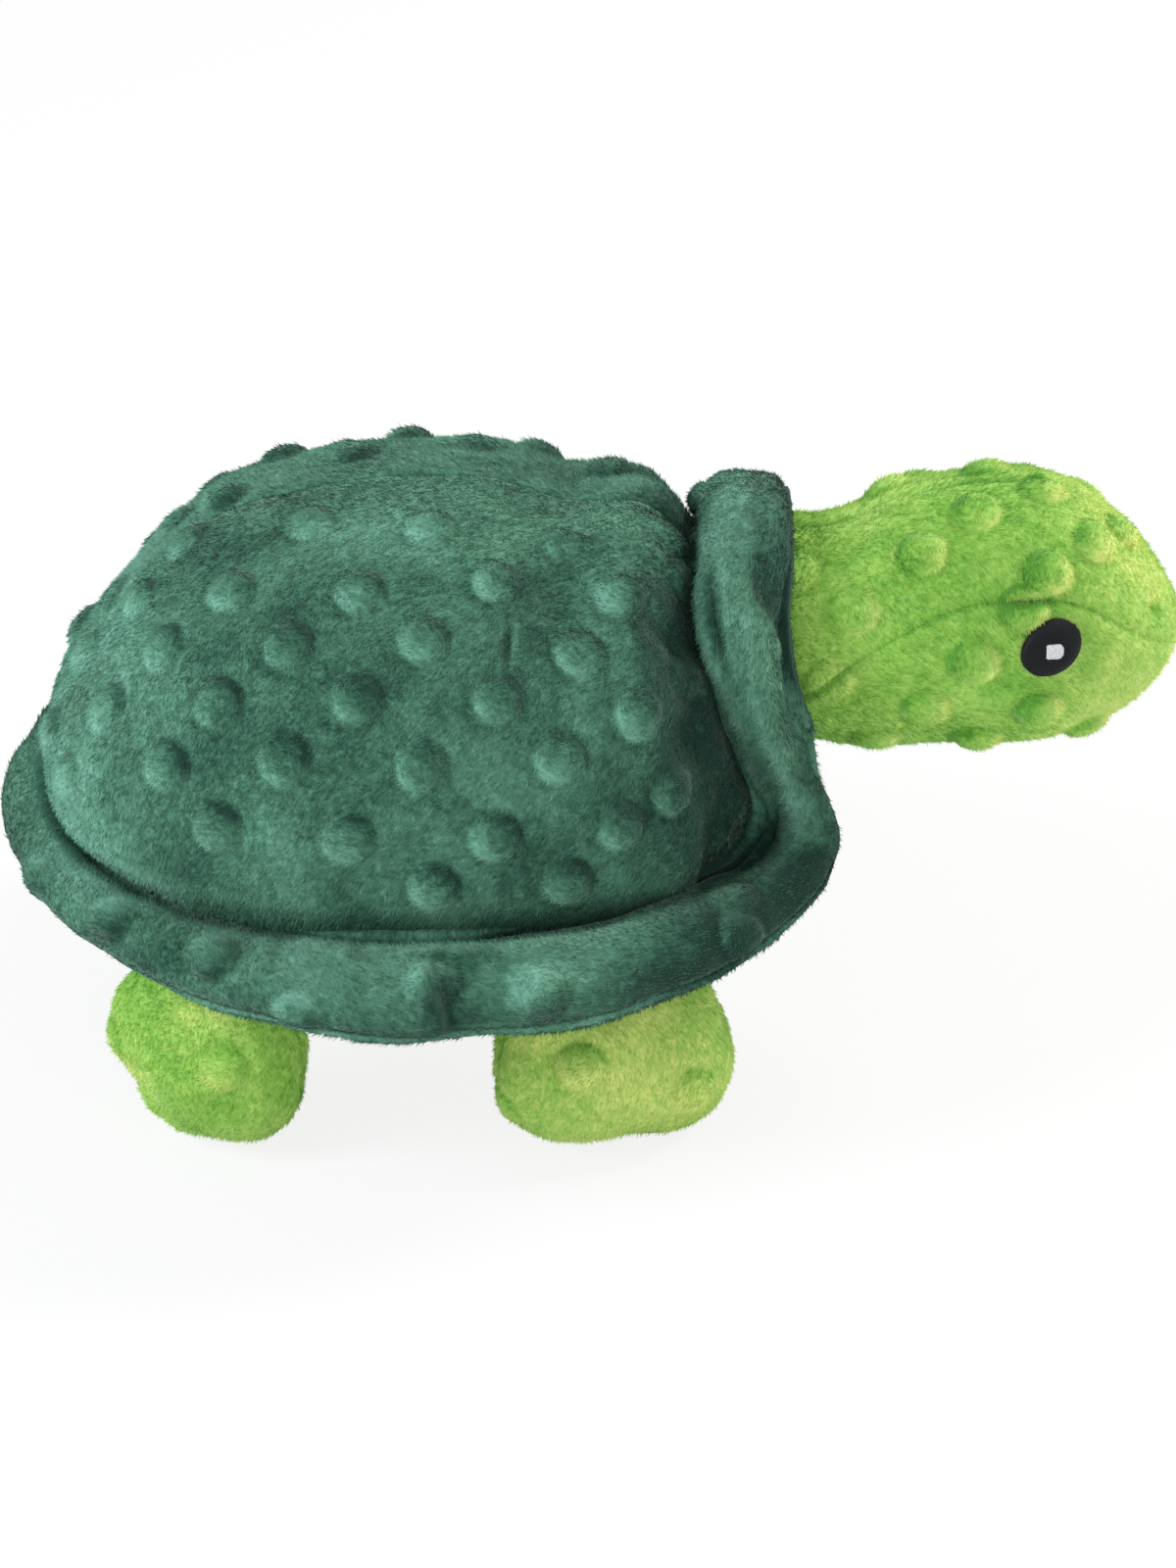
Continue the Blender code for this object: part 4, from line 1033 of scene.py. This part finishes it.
def brim_dots():
    middle, out, up, width, thickness = brim_line(720)
    made = []
    for sign in (-1, 1):
        heading = np.degrees(np.arctan2(sign * middle[:, 1], -(middle[:, 0] - MIDDLE[0])))
        other_side = sign * middle[:, 1] < 0
        for around, over in BRIM_DOTS:
            k = int(np.argmin(np.abs(heading - around) + other_side * 999))
            c, s = math.cos(math.radians(over)), math.sin(math.radians(over))
            lift = up[k] * thickness[k] * (1 - BRIM_TIP_THINNING * c) * s
            made.append(middle[k] + out[k] * width[k] * c + lift)
    return np.array(made)


# head


def head_rows(count, inset=0.0):
    """Rows of distance in front of the neck's middle, radius, rise and width share along the head."""
    ball = np.radians((180, 160, 142, 122, 100, 80))
    rows = [(NECK_RADIUS * math.cos(a), NECK_RADIUS * math.sin(a), 0.0, 1.0) for a in ball]
    rows += [
        (along * HEAD_LENGTH, high * HEAD_HALF_HEIGHT, rise * HEAD_HALF_HEIGHT, HEAD_WIDTH_SHARE)
        for along, high, rise in HEAD_STATIONS
    ]
    rows = np.array(rows)
    mirror = (1, -1, 1, 1)
    fine = smooth_rows([rows[1] * mirror, *rows, rows[-2] * mirror], 1500)
    fine[:, 1] = np.maximum(fine[:, 1], 0)
    even = evenly(fine, count, [0, 1])
    if inset:
        even[:, 0] = even[:, 0] * (1 - inset / HEAD_LENGTH)
        even[:, 1] = np.maximum(even[:, 1] - inset, 0)
    return even


def head_points(rows, phi):
    """Points of the head: rows along it, phi from the top down its right side."""
    along, radius, rise, share = (rows[:, k][:, None] for k in range(4))
    return NECK + np.stack(
        [along + 0 * phi, -radius * np.sin(phi) * share, rise + radius * np.cos(phi)], -1
    )


def head_seam_turn(rows):
    """Where the side seam crosses each row of the head, as an angle from the top."""
    seam = smooth_rows([HEAD_SEAM[0], *HEAD_SEAM, HEAD_SEAM[-1]], 200)
    level = np.interp(rows[:, 0] / HEAD_LENGTH, seam[:, 0], seam[:, 1]) * HEAD_HALF_HEIGHT
    share = (level - rows[:, 2]) / np.maximum(rows[:, 1], 1e-6)
    return np.arccos(np.clip(share, -1, 1))


def on_head(places):
    """Points of the head from places given as share of its outline and degrees from the top."""
    rows = head_rows(401)
    return np.array([
        head_points(rows[[round(share * 400)]], np.radians([[degrees]]))[0, 0] for share, degrees in places
    ])


# Dots of the head, as a share of its outline and degrees from the top: on both sides, and on one
HEAD_DOTS = (
    (0.746, 32), (0.468, 39), (0.365, 57), (0.659, 51), (0.622, 66), (0.548, 88), (0.652, 114),
    (0.278, 34), (0.405, 140), (0.562, 137), (0.480, 112), (0.740, 146), (0.330, 92),
)
HEAD_TOP_DOTS = ((0.552, 21), (0.662, 4), (0.809, 10), (0.421, -22), (0.572, -15))
NOSE_DIMPLE = (0.878, 62)


def along_head(grid):
    """Place from 0, the neck's middle, to 1, the nose."""
    return (grid[..., 0] - NECK[0]) / HEAD_LENGTH


def head_moves(grid):
    """A small dimple where the seams meet at the nose, and the head a little slimmer towards it."""
    away = np.linalg.norm(grid - on_head([NOSE_DIMPLE])[0], axis=-1)
    share = along_head(grid)
    above = smoothstep(-0.2, 0.8, (grid[..., 2] - NECK[2]) / HEAD_HALF_HEIGHT)
    slim = 0.0006 * above + 0.0016 * smoothstep(0.55, 0.95, share) * above
    slim += 0.0006 * smoothstep(0.7, 1.0, share)
    return -0.0014 * bell(away, 0, 0.0016) - 0.0006 * bell(away, 0, 0.004) - slim


def head_puff(grid):
    """The dots are flatter near the neck, where they pass under the collar as the head turns."""
    return 0.45 + 0.55 * smoothstep(0.006, 0.018, grid[..., 0] - NECK[0])


def head_shade(grid):
    """Painted shade in the dimple at the nose and towards the neck, painted light towards the nose, a
    little darker in the head's middle, and lighter in a ring round each eye.
    """
    away = np.linalg.norm(grid - on_head([NOSE_DIMPLE])[0], axis=-1)
    share = along_head(grid)
    # Painted shade in the nose's dimple, painted light towards the nose
    made = 0.9 * bell(away, 0, 0.0016) - 0.95 * smoothstep(0.55, 1.0, share)
    # Painted shade towards the neck, and a little darker in the middle
    made += 0.2 * smoothstep(0.2, -0.1, share) + 0.20 * bell(share, 0.45, 0.22)
    # Lighter in a ring round each eye
    for sign in (1, -1):
        off, out = Eye(sign).off(grid)
        made -= 0.35 * bell(np.sqrt(out), 1.1, 0.14) * (np.linalg.norm(off, axis=-1) < 0.012)
    return made


def under_eyes(grid):
    """Where the eyes cover the head."""
    return np.any([Eye(sign).off(grid)[1] < 0.95 for sign in (1, -1)], axis=0)


def skull(points):
    """The points moved to the head's surface, round the line along its middle."""
    rows = head_rows(1001)
    rows = rows[rows[:, 0] > 0]
    along = points[..., 0] - NECK[0]
    radius, rise, share = (np.interp(along, rows[:, 0], rows[:, k]) for k in (1, 2, 3))
    phi = np.arctan2(points[..., 1] / share, points[..., 2] - NECK[2] - rise)
    return NECK + np.stack([along, radius * np.sin(phi) * share, rise + radius * np.cos(phi)], -1)


# eyes

# Half lengths of the oval, its place as share of the head's outline and degrees, and its tilt in degrees
EYE_SIZE = (0.0060, 0.0050)
EYE_PLACE = (0.666, 83)
EYE_TILT = 45.0
EYE_RISE = 0.0009
EYE_BACKING = 0.0009
GLINT_HALF = 0.0016

# Satin stitch: the thread's radius, its lines' spacing and their height over the pad
STRAND = 0.00017
EYE_SPACING, EYE_LIFT = 0.00030, 0.0001
GLINT_SPACING, GLINT_LIFT = 0.00026, 0.00036


def oval(a, b):
    """0 at the middle of the eye and 1 on its edge, growing with the square of the distance."""
    return (a / EYE_SIZE[0]) ** 2 + (b / EYE_SIZE[1]) ** 2


class Eye:
    """A frame on the cheek: from places across and along the tilted oval to points over the head."""

    def __init__(self, sign, tilt=EYE_TILT):
        self.centre = on_head([EYE_PLACE])[0] * (1, sign, 1)
        step = 0.003
        ahead = skull(self.centre + np.array([step, 0, 0])) - self.centre
        above = skull(self.centre + np.array([0, 0, step])) - self.centre
        self.normal = unit(np.cross(ahead, above))
        self.normal *= -np.sign(self.normal[1]) * sign
        ahead = unit(ahead)
        above = unit(above - ahead * (above @ ahead))
        tilt = math.radians(tilt)
        self.long = ahead * math.cos(tilt) + above * math.sin(tilt)
        self.wide = above * math.cos(tilt) - ahead * math.sin(tilt)

    def at(self, a, b, lift):
        flat = self.centre + self.long * np.asarray(a)[..., None] + self.wide * np.asarray(b)[..., None]
        return skull(flat) + self.normal * np.asarray(lift)[..., None]

    def off(self, points):
        """The way from the eye's middle to points, and how far out in its oval they lie."""
        off = points - self.centre
        return off, oval(off @ self.long, off @ self.wide)


def dome(a, b):
    """Height of the eye's padded stitching over the cheek at places in the oval."""
    return EYE_RISE * np.clip(1 - oval(a, b) ** 1.6, 0, 1) ** 0.6


def strands(eye, reach, outline, spacing, lift, parts=22):
    """Stitches that lie side by side over a pad, as the edges of a mesh. outline gives half a stitch."""
    points, edges = [], []
    end = np.abs(np.linspace(-1, 1, parts + 1)) ** 8
    for k in range(int(-reach / spacing) + 1, int(reach / spacing) + 1):
        a = k * spacing
        half = outline(a)
        wander = 0.00012 * lumps(np.array([[a * 9, 0.3, 0.1]]), 0.002, 31)[0]
        b = np.linspace(-half - wander, half + wander, parts + 1)
        start = len(points)
        points += list(eye.at(a + 0 * b, b, dome(a, b) + lift - EYE_BACKING * end))
        edges += [(start + i, start + i + 1) for i in range(parts)]
    mesh = bpy.data.meshes.new("stitches")
    mesh.from_pydata([tuple(p) for p in points], edges, [])
    return mesh


def half_oval(a):
    return EYE_SIZE[1] * math.sqrt(max(1 - (a / EYE_SIZE[0]) ** 2, 0))


def half_square(a):
    """Half the height of the glint, a square with rounded corners."""
    return GLINT_HALF * (1 - abs(a / GLINT_HALF) ** 4) ** 0.25


def stitched_eye(side, sign):
    eye, upright = Eye(sign), Eye(sign, 0.0)
    r = np.linspace(0, 1, 17)[:, None]
    turn = np.linspace(0, 2 * math.pi, 64, endpoint=False)[None]
    a, b = EYE_SIZE[0] * r * np.cos(turn), EYE_SIZE[1] * r * np.sin(turn)
    pad = eye.at(a, b, dome(a, b) - 0.0001)
    mesh = skin(f"eye_pad_{side}", pad, np.broadcast_to(eye.normal, pad.shape), EYE_BACKING, True, {})
    mesh.materials.append(eye_thread)
    dress(mesh, "head", f"eye_{side}")
    lines = strands(eye, EYE_SIZE[0], half_oval, EYE_SPACING, EYE_LIFT)
    mesh = grown(lines, satin, f"eye_stitches_{side}", Width=STRAND, Thread=eye_thread)
    mesh.shade_smooth()
    dress(mesh, "head")
    lines = strands(upright, GLINT_HALF, half_square, GLINT_SPACING, GLINT_LIFT)
    mesh = grown(lines, satin, f"glint_stitches_{side}", Width=STRAND, Thread=glint_thread)
    mesh.shade_smooth()
    dress(mesh, "head", f"eye_glint_{side}")


# legs


def leg_points(end, side, rows=121, columns=180, inset=0.0):
    """A leg from its root in the belly to the middle of its sole."""
    joint = joints[f"leg_{end}_{side}_splay"]
    hinge = np.array(joint["pos_m"])
    sign = 1 if side == "left" else -1
    along = np.array(joint["axis"]) * math.copysign(1, joint["axis"][0])
    outward = sign * np.cross(UP, along)
    half_width = LEG_WIDTHS[end] * LEG_HALF_WIDTH
    length = hinge[2]
    sunk = LEG_ROOT_RADIUS + LEG_SEAM_GAP + 0.002
    stations = [
        (-sunk, 0.55 * half_width, 0.4 * LEG_ROOT_RADIUS, 0.0),
        (-LEG_ROOT_RADIUS * 0.7, LEG_ROOT_WIDTH * half_width, LEG_ROOT_RADIUS, 0.0),
        (0.0, 0.70 * half_width, 1.15 * LEG_ROOT_RADIUS, 0.0),
    ]
    stations += [
        (depth * length, width * half_width, thick * LEG_HALF_THICKNESS, lean * FOOT_LEANS[end])
        for depth, width, thick, lean in LEG_STATIONS
    ]
    last = list(stations[-2])
    last[1], last[2] = -last[1], -last[2]
    fine = smooth_rows([stations[0], *stations, last], 900)
    fine[:, 1:3] = np.maximum(fine[:, 1:3], 0)
    fine[:, 0] = np.minimum(fine[:, 0], length)
    rows_at = evenly(fine, rows, [0, 1])
    depth, width, thick, lean = (rows_at[:, k][:, None, None] for k in range(4))
    turn = np.linspace(0, 2 * math.pi, columns, endpoint=False)[None, :, None]
    c, s = np.cos(turn), np.sin(turn)
    reach = (np.abs(c) ** LEG_FULLNESS + np.abs(s) ** LEG_FULLNESS) ** (-1 / LEG_FULLNESS)
    x = np.maximum(width - inset, 0) * reach * c + lean
    y = np.maximum(thick - inset, 0) * reach * s
    return hinge + along * x + outward * y - UP * depth


# Dots of the legs, as a share of the way from root to sole and degrees round from the front
LEG_DOTS = {
    "front": ((0.52, 58), (0.56, 172), (0.36, 115), (0.50, 250), (0.60, 318)),
    "rear": ((0.44, 156), (0.66, 128), (0.38, 70), (0.52, 240), (0.44, 300)),
}

# Painted light: how much lighter a leg is all over, and besides on its front
LEG_PAINTED_LIGHT = {"front": (-0.44, -0.46), "rear": (-0.08, -0.10)}

# No pile stands below the first height, and the sole lies flat on the second
SOLE_BARE = 0.0020
SOLE_LEVEL = 0.0004


def leg_dots(end, grid):
    rows, columns = grid.shape[:2]
    return np.array([grid[int(share * rows), int(turn / 360 * columns)] for share, turn in LEG_DOTS[end]])


def in_leg(end, side, grid):
    """How far points lie ahead of the hinge, in half widths, and below it, as a share of its height."""
    hinge = joints[f"leg_{end}_{side}_splay"]["pos_m"]
    return (grid[..., 0] - hinge[0]) / LEG_HALF_WIDTH, 1 - grid[..., 2] / hinge[2]


def leg_shade(end, side, grid):
    """Painted light: lighter on the front legs, and lightest on each leg's front."""
    base, more = LEG_PAINTED_LIGHT[end]
    return base + more * smoothstep(-0.3, 0.8, in_leg(end, side, grid)[0])


def leg_moves(end, side, grid):
    """How the stuffed legs sag: the front one is fuller before, and the rear one cut back behind."""
    ahead, depth = in_leg(end, side, grid)
    if end == "front":
        made = 0.0026 * smoothstep(0.2, 1.0, ahead)
    else:
        made = -0.0022 * smoothstep(0.3, 0.9, ahead)
        made -= 0.0036 * smoothstep(-0.2, -0.9, ahead) * smoothstep(0.45, 0.85, depth)
        made += 0.0012 * smoothstep(-0.3, -1.0, ahead) * smoothstep(0.5, 0.2, depth)
    return (made + 0.0009 * lumps(grid, 0.010, 18)) * smoothstep(0.0, 0.2, depth)


# the toy

for side, sign in (("right", -1), ("left", 1)):
    grid = shell_grid(sign)
    cover(
        f"shell_cover_{side}", "shell", f"shell_panel_{side}", grid, MIDDLE, "shell",
        dots=shell_dots(sign), tucked="blr", lay=2.4, seam=0.7, line=-0.1,
        moves=shell_moves(grid), shade=shell_shade(grid),
    )
cover(
    "belly_cover", "shell", "belly_panel", belly_grid(), MIDDLE + UP * 0.01, "skin", loop=True, tucked="b",
    thick=0.5,
)
for name, start, end, tucked in (("upper", 0, math.pi, "t"), ("lower", -math.pi, 0, "b")):
    grid, inside = brim_grid(start, end, 45)
    turn = np.linspace(start, end, 45)[:, None]
    cover(
        f"brim_cover_{name}", "shell", f"brim_{name}_panel", grid, inside, "shell", dots=brim_dots(),
        loop=True, tucked=tucked, lay=0.8, seam=0.6, moves=brim_moves(grid, turn),
        shade=brim_shade(grid, turn), hidden=(off_shell(grid) < -0.003) & (np.abs(turn) > 1.9),
        cloth=brim_cloth(grid),
    )

rows = head_rows(181)
seam_turn = head_seam_turn(rows)
head_inside = NECK + np.stack([rows[:, 0], 0 * rows[:, 0], rows[:, 2]], 1)[:, None]
both_dots = on_head(HEAD_DOTS)
all_dots = np.concatenate([both_dots, both_dots * (1, -1, 1), on_head(HEAD_TOP_DOTS)])


def head_cover(name, panel, grid, inside, tucked):
    cover(
        name, "head", panel, grid, inside, "skin", dots=all_dots, tucked=tucked, lay=0.5,
        seam=0.6, line=0.25, moves=head_moves(grid), shade=head_shade(grid), hidden=under_eyes(grid),
        puff=head_puff(grid),
    )


from_top = np.linspace(0, 1, 101) * seam_turn[:, None]
for side, sign in (("right", 1), ("left", -1)):
    grid = head_points(rows, sign * from_top)
    head_cover(f"head_cover_top_{side}", f"head_top_panel_{side}", grid, head_inside, "lr")
chin_rows = np.nonzero(seam_turn < math.pi - 0.02)[0]
first, last = chin_rows[0], chin_rows[-1]
chin = rows[first : last + 1]
chin = chin[: (len(chin) - 1) // BACKING_STEP * BACKING_STEP + 1]
chin_turn = head_seam_turn(chin)[:, None]
grid = head_points(chin, chin_turn + np.linspace(0, 1, 201) * (2 * math.pi - 2 * chin_turn))
chin_inside = head_inside[first : first + len(chin)]
head_cover("head_cover_chin", "head_chin_panel", grid, chin_inside, "tblr")
for side, sign in (("right", 1), ("left", -1)):
    stitched_eye(side, sign)

for end, side in LEGS:
    body = f"leg_{end}_{side}"
    whole = leg_points(end, side)
    hinge = Vector(joints[f"{body}_splay"]["pos_m"])
    for face, start in (("outer", 0), ("inner", 90)):
        grid = np.concatenate([whole, whole[:, :1]], 1)[:, start : start + 91]
        grid = grid[:, np.linspace(0, 90, 89).round().astype(int)]
        cover(
            f"{body}_cover_{face}", body, f"{body}_{face}_panel", grid, whole.mean((0, 1)), "skin",
            dots=leg_dots(end, whole), tucked="lr", lay=0.4, seam=0.8, puff=0.7,
            moves=leg_moves(end, side, grid), shade=leg_shade(end, side, grid),
            hidden=grid[..., 2] < SOLE_BARE, floor=SOLE_LEVEL,
            bends=(hinge + Vector((0, 0, 0.001)), hinge - Vector((0, 0, 0.010))),
        )

# Fibre: the lowest that a wad reaches, how far below its hinge a leg's wad starts, and a few sizes
WAD_LOWEST = 0.003
LEG_WAD_START = 0.012
NECK_WAD_RADIUS = 0.0165
HEAD_WAD_OFF_NECK = 0.0195
BRIM_WAD_SHARE = 0.28


def wad(place, body, grid, inside):
    """A lumpy wad of fibre."""
    normal = facing_out(grid, inside, True)
    outer = grid + normal * unevenness(grid, FIBRE_WAVES)[..., None]
    outer[..., 2] = np.maximum(outer[..., 2], WAD_LOWEST)
    mesh = skin(f"{place}_wad", outer, normal, None, True, {})
    mesh.materials.append(stuffing)
    dress(mesh, body, f"{place}_fill")


def ball_direction(rows, columns):
    theta = np.linspace(0, math.pi, rows)[:, None]
    phi = np.linspace(0, 2 * math.pi, columns, endpoint=False)
    return np.stack([np.sin(theta) * np.cos(phi), np.sin(theta) * np.sin(phi), np.cos(theta) + 0 * phi], -1)


wad("body", "shell", cupped(pebble(ball_direction(61, 96), 2.0 * STUFFING_INSET), 0.003), MIDDLE)
wad("neck", "neck", NECK + NECK_WAD_RADIUS * ball_direction(31, 48), NECK)
inner = head_rows(81, STUFFING_INSET)
points = head_points(inner, np.linspace(0, 2 * math.pi, 64, endpoint=False)[None])
away = points - NECK
distance = np.linalg.norm(away, axis=-1, keepdims=True)
short = np.maximum(HEAD_WAD_OFF_NECK - distance, 0) * (away[..., :1] > 0)
points = points + away / np.maximum(distance, 1e-6) * short
wad("head", "head", points[inner[:, 0] > 0.006], NECK + (0.03, 0, 0.004))
for end, side in LEGS:
    grid = leg_points(end, side, 41, 48, STUFFING_INSET * 1.2)
    grid = grid[grid[:, 0, 2] < joints[f"leg_{end}_{side}_splay"]["pos_m"][2] - LEG_WAD_START]
    grid = np.concatenate([np.broadcast_to(grid[0].mean(0), (1, 48, 3)), grid])
    wad(f"leg_{end}_{side}", f"leg_{end}_{side}", grid, grid.mean((0, 1)))
turn = np.linspace(0, 2 * math.pi, 17)[:, None]
grid, inside = brim_grid(0, 2 * math.pi, 17, 240)
round_turn = (turn + math.pi) % (2 * math.pi) - math.pi
grid = grid + facing_out(grid, inside, True) * brim_moves(grid, round_turn)[..., None]
middle = grid[:-1].mean(0)
wad("brim", "shell", middle + BRIM_WAD_SHARE * (grid - middle), middle)

# stage


def stage_floor():
    """A pale floor, whiter to the camera than as light, and clear from below."""
    mesh = bpy.data.meshes.new("floor")
    mesh.from_pydata([(-6, -6, 0), (6, -6, 0), (6, 6, 0), (-6, 6, 0)], [], [(0, 1, 2, 3)])
    made, tree, shader = new_material("floor_white")
    stops = ((0.3, (0.86, 0.86, 0.86)), (0.7, (0.88, 0.88, 0.88)))
    paper = tree.colours(tree.noise(tree.place(), 3.0), stops)
    tree.fit(shader, Base_Color=paper, Roughness=0.9)
    white = tree.make("ShaderNodeEmission", {}, Color=(1, 1, 1, 1), Strength=1.0)
    seen = tree.make("ShaderNodeLightPath", {}, output="Is Camera Ray")
    shown = tree.make("ShaderNodeMixShader", {}, seen * 0.85, Value(tree, shader.outputs[0]), white)
    under = tree.make("ShaderNodeNewGeometry", {}, output="Backfacing")
    clear = tree.make("ShaderNodeBsdfTransparent", {})
    surface = tree.make("ShaderNodeMixShader", {}, under, shown, clear)
    tree.fit(made.node_tree.nodes["Material Output"], Surface=surface)
    mesh.materials.append(made)
    obj = bpy.data.objects.new("floor", mesh)
    bpy.context.scene.collection.objects.link(obj)


def lamp(name, place, size, energy, colour=(1, 1, 1)):
    data = bpy.data.lights.new(name, "AREA")
    data.shape, data.size, data.energy, data.color = "DISK", size, energy, colour
    placed(name, data, place)


def placed(name, data, place):
    """A lamp or camera at that place, turned towards the toy."""
    obj = bpy.data.objects.new(name, data)
    obj.location = place
    obj.rotation_euler = (AIM - obj.location).to_track_quat("-Z", "Y").to_euler()
    bpy.context.scene.collection.objects.link(obj)
    return obj


AIM = Vector((0, 0, 0.050))
CAMERA_DISTANCE = 0.9
CAMERA_LIFT = math.radians(30)

stage_floor()
lamp("key_softbox", (0.90, 0.40, 0.85), 0.5, 14.0, (1.0, 0.99, 0.94))
lamp("left_softbox", (-1.0, -0.35, 0.75), 0.6, 12.0, (0.93, 0.99, 1.04))
lamp("front_fill", (0.0, -1.2, 0.7), 0.9, 1.5)
lamp("low_fill", (0.65, -0.95, 0.22), 0.5, 2.0)

world = bpy.data.worlds.new("studio")
bpy.context.scene.world = world
world.use_nodes = True
sky = Tree(world.node_tree)
camera_ray = sky.make("ShaderNodeLightPath", {}, output="Is Camera Ray")
sky.fit(world.node_tree.nodes["Background"], Color=(1, 1, 1, 1), Strength=0.36 + camera_ray * 0.64)

camera = bpy.data.cameras.new("camera")
camera.sensor_width, camera.lens = 36.0, 109.35
camera.clip_start, camera.clip_end = 0.05, 20.0
towards = Vector((0, -math.cos(CAMERA_LIFT), math.sin(CAMERA_LIFT)))
bpy.context.scene.camera = placed("camera", camera, AIM + CAMERA_DISTANCE * towards)
bpy.context.scene.view_settings.view_transform = "Standard"
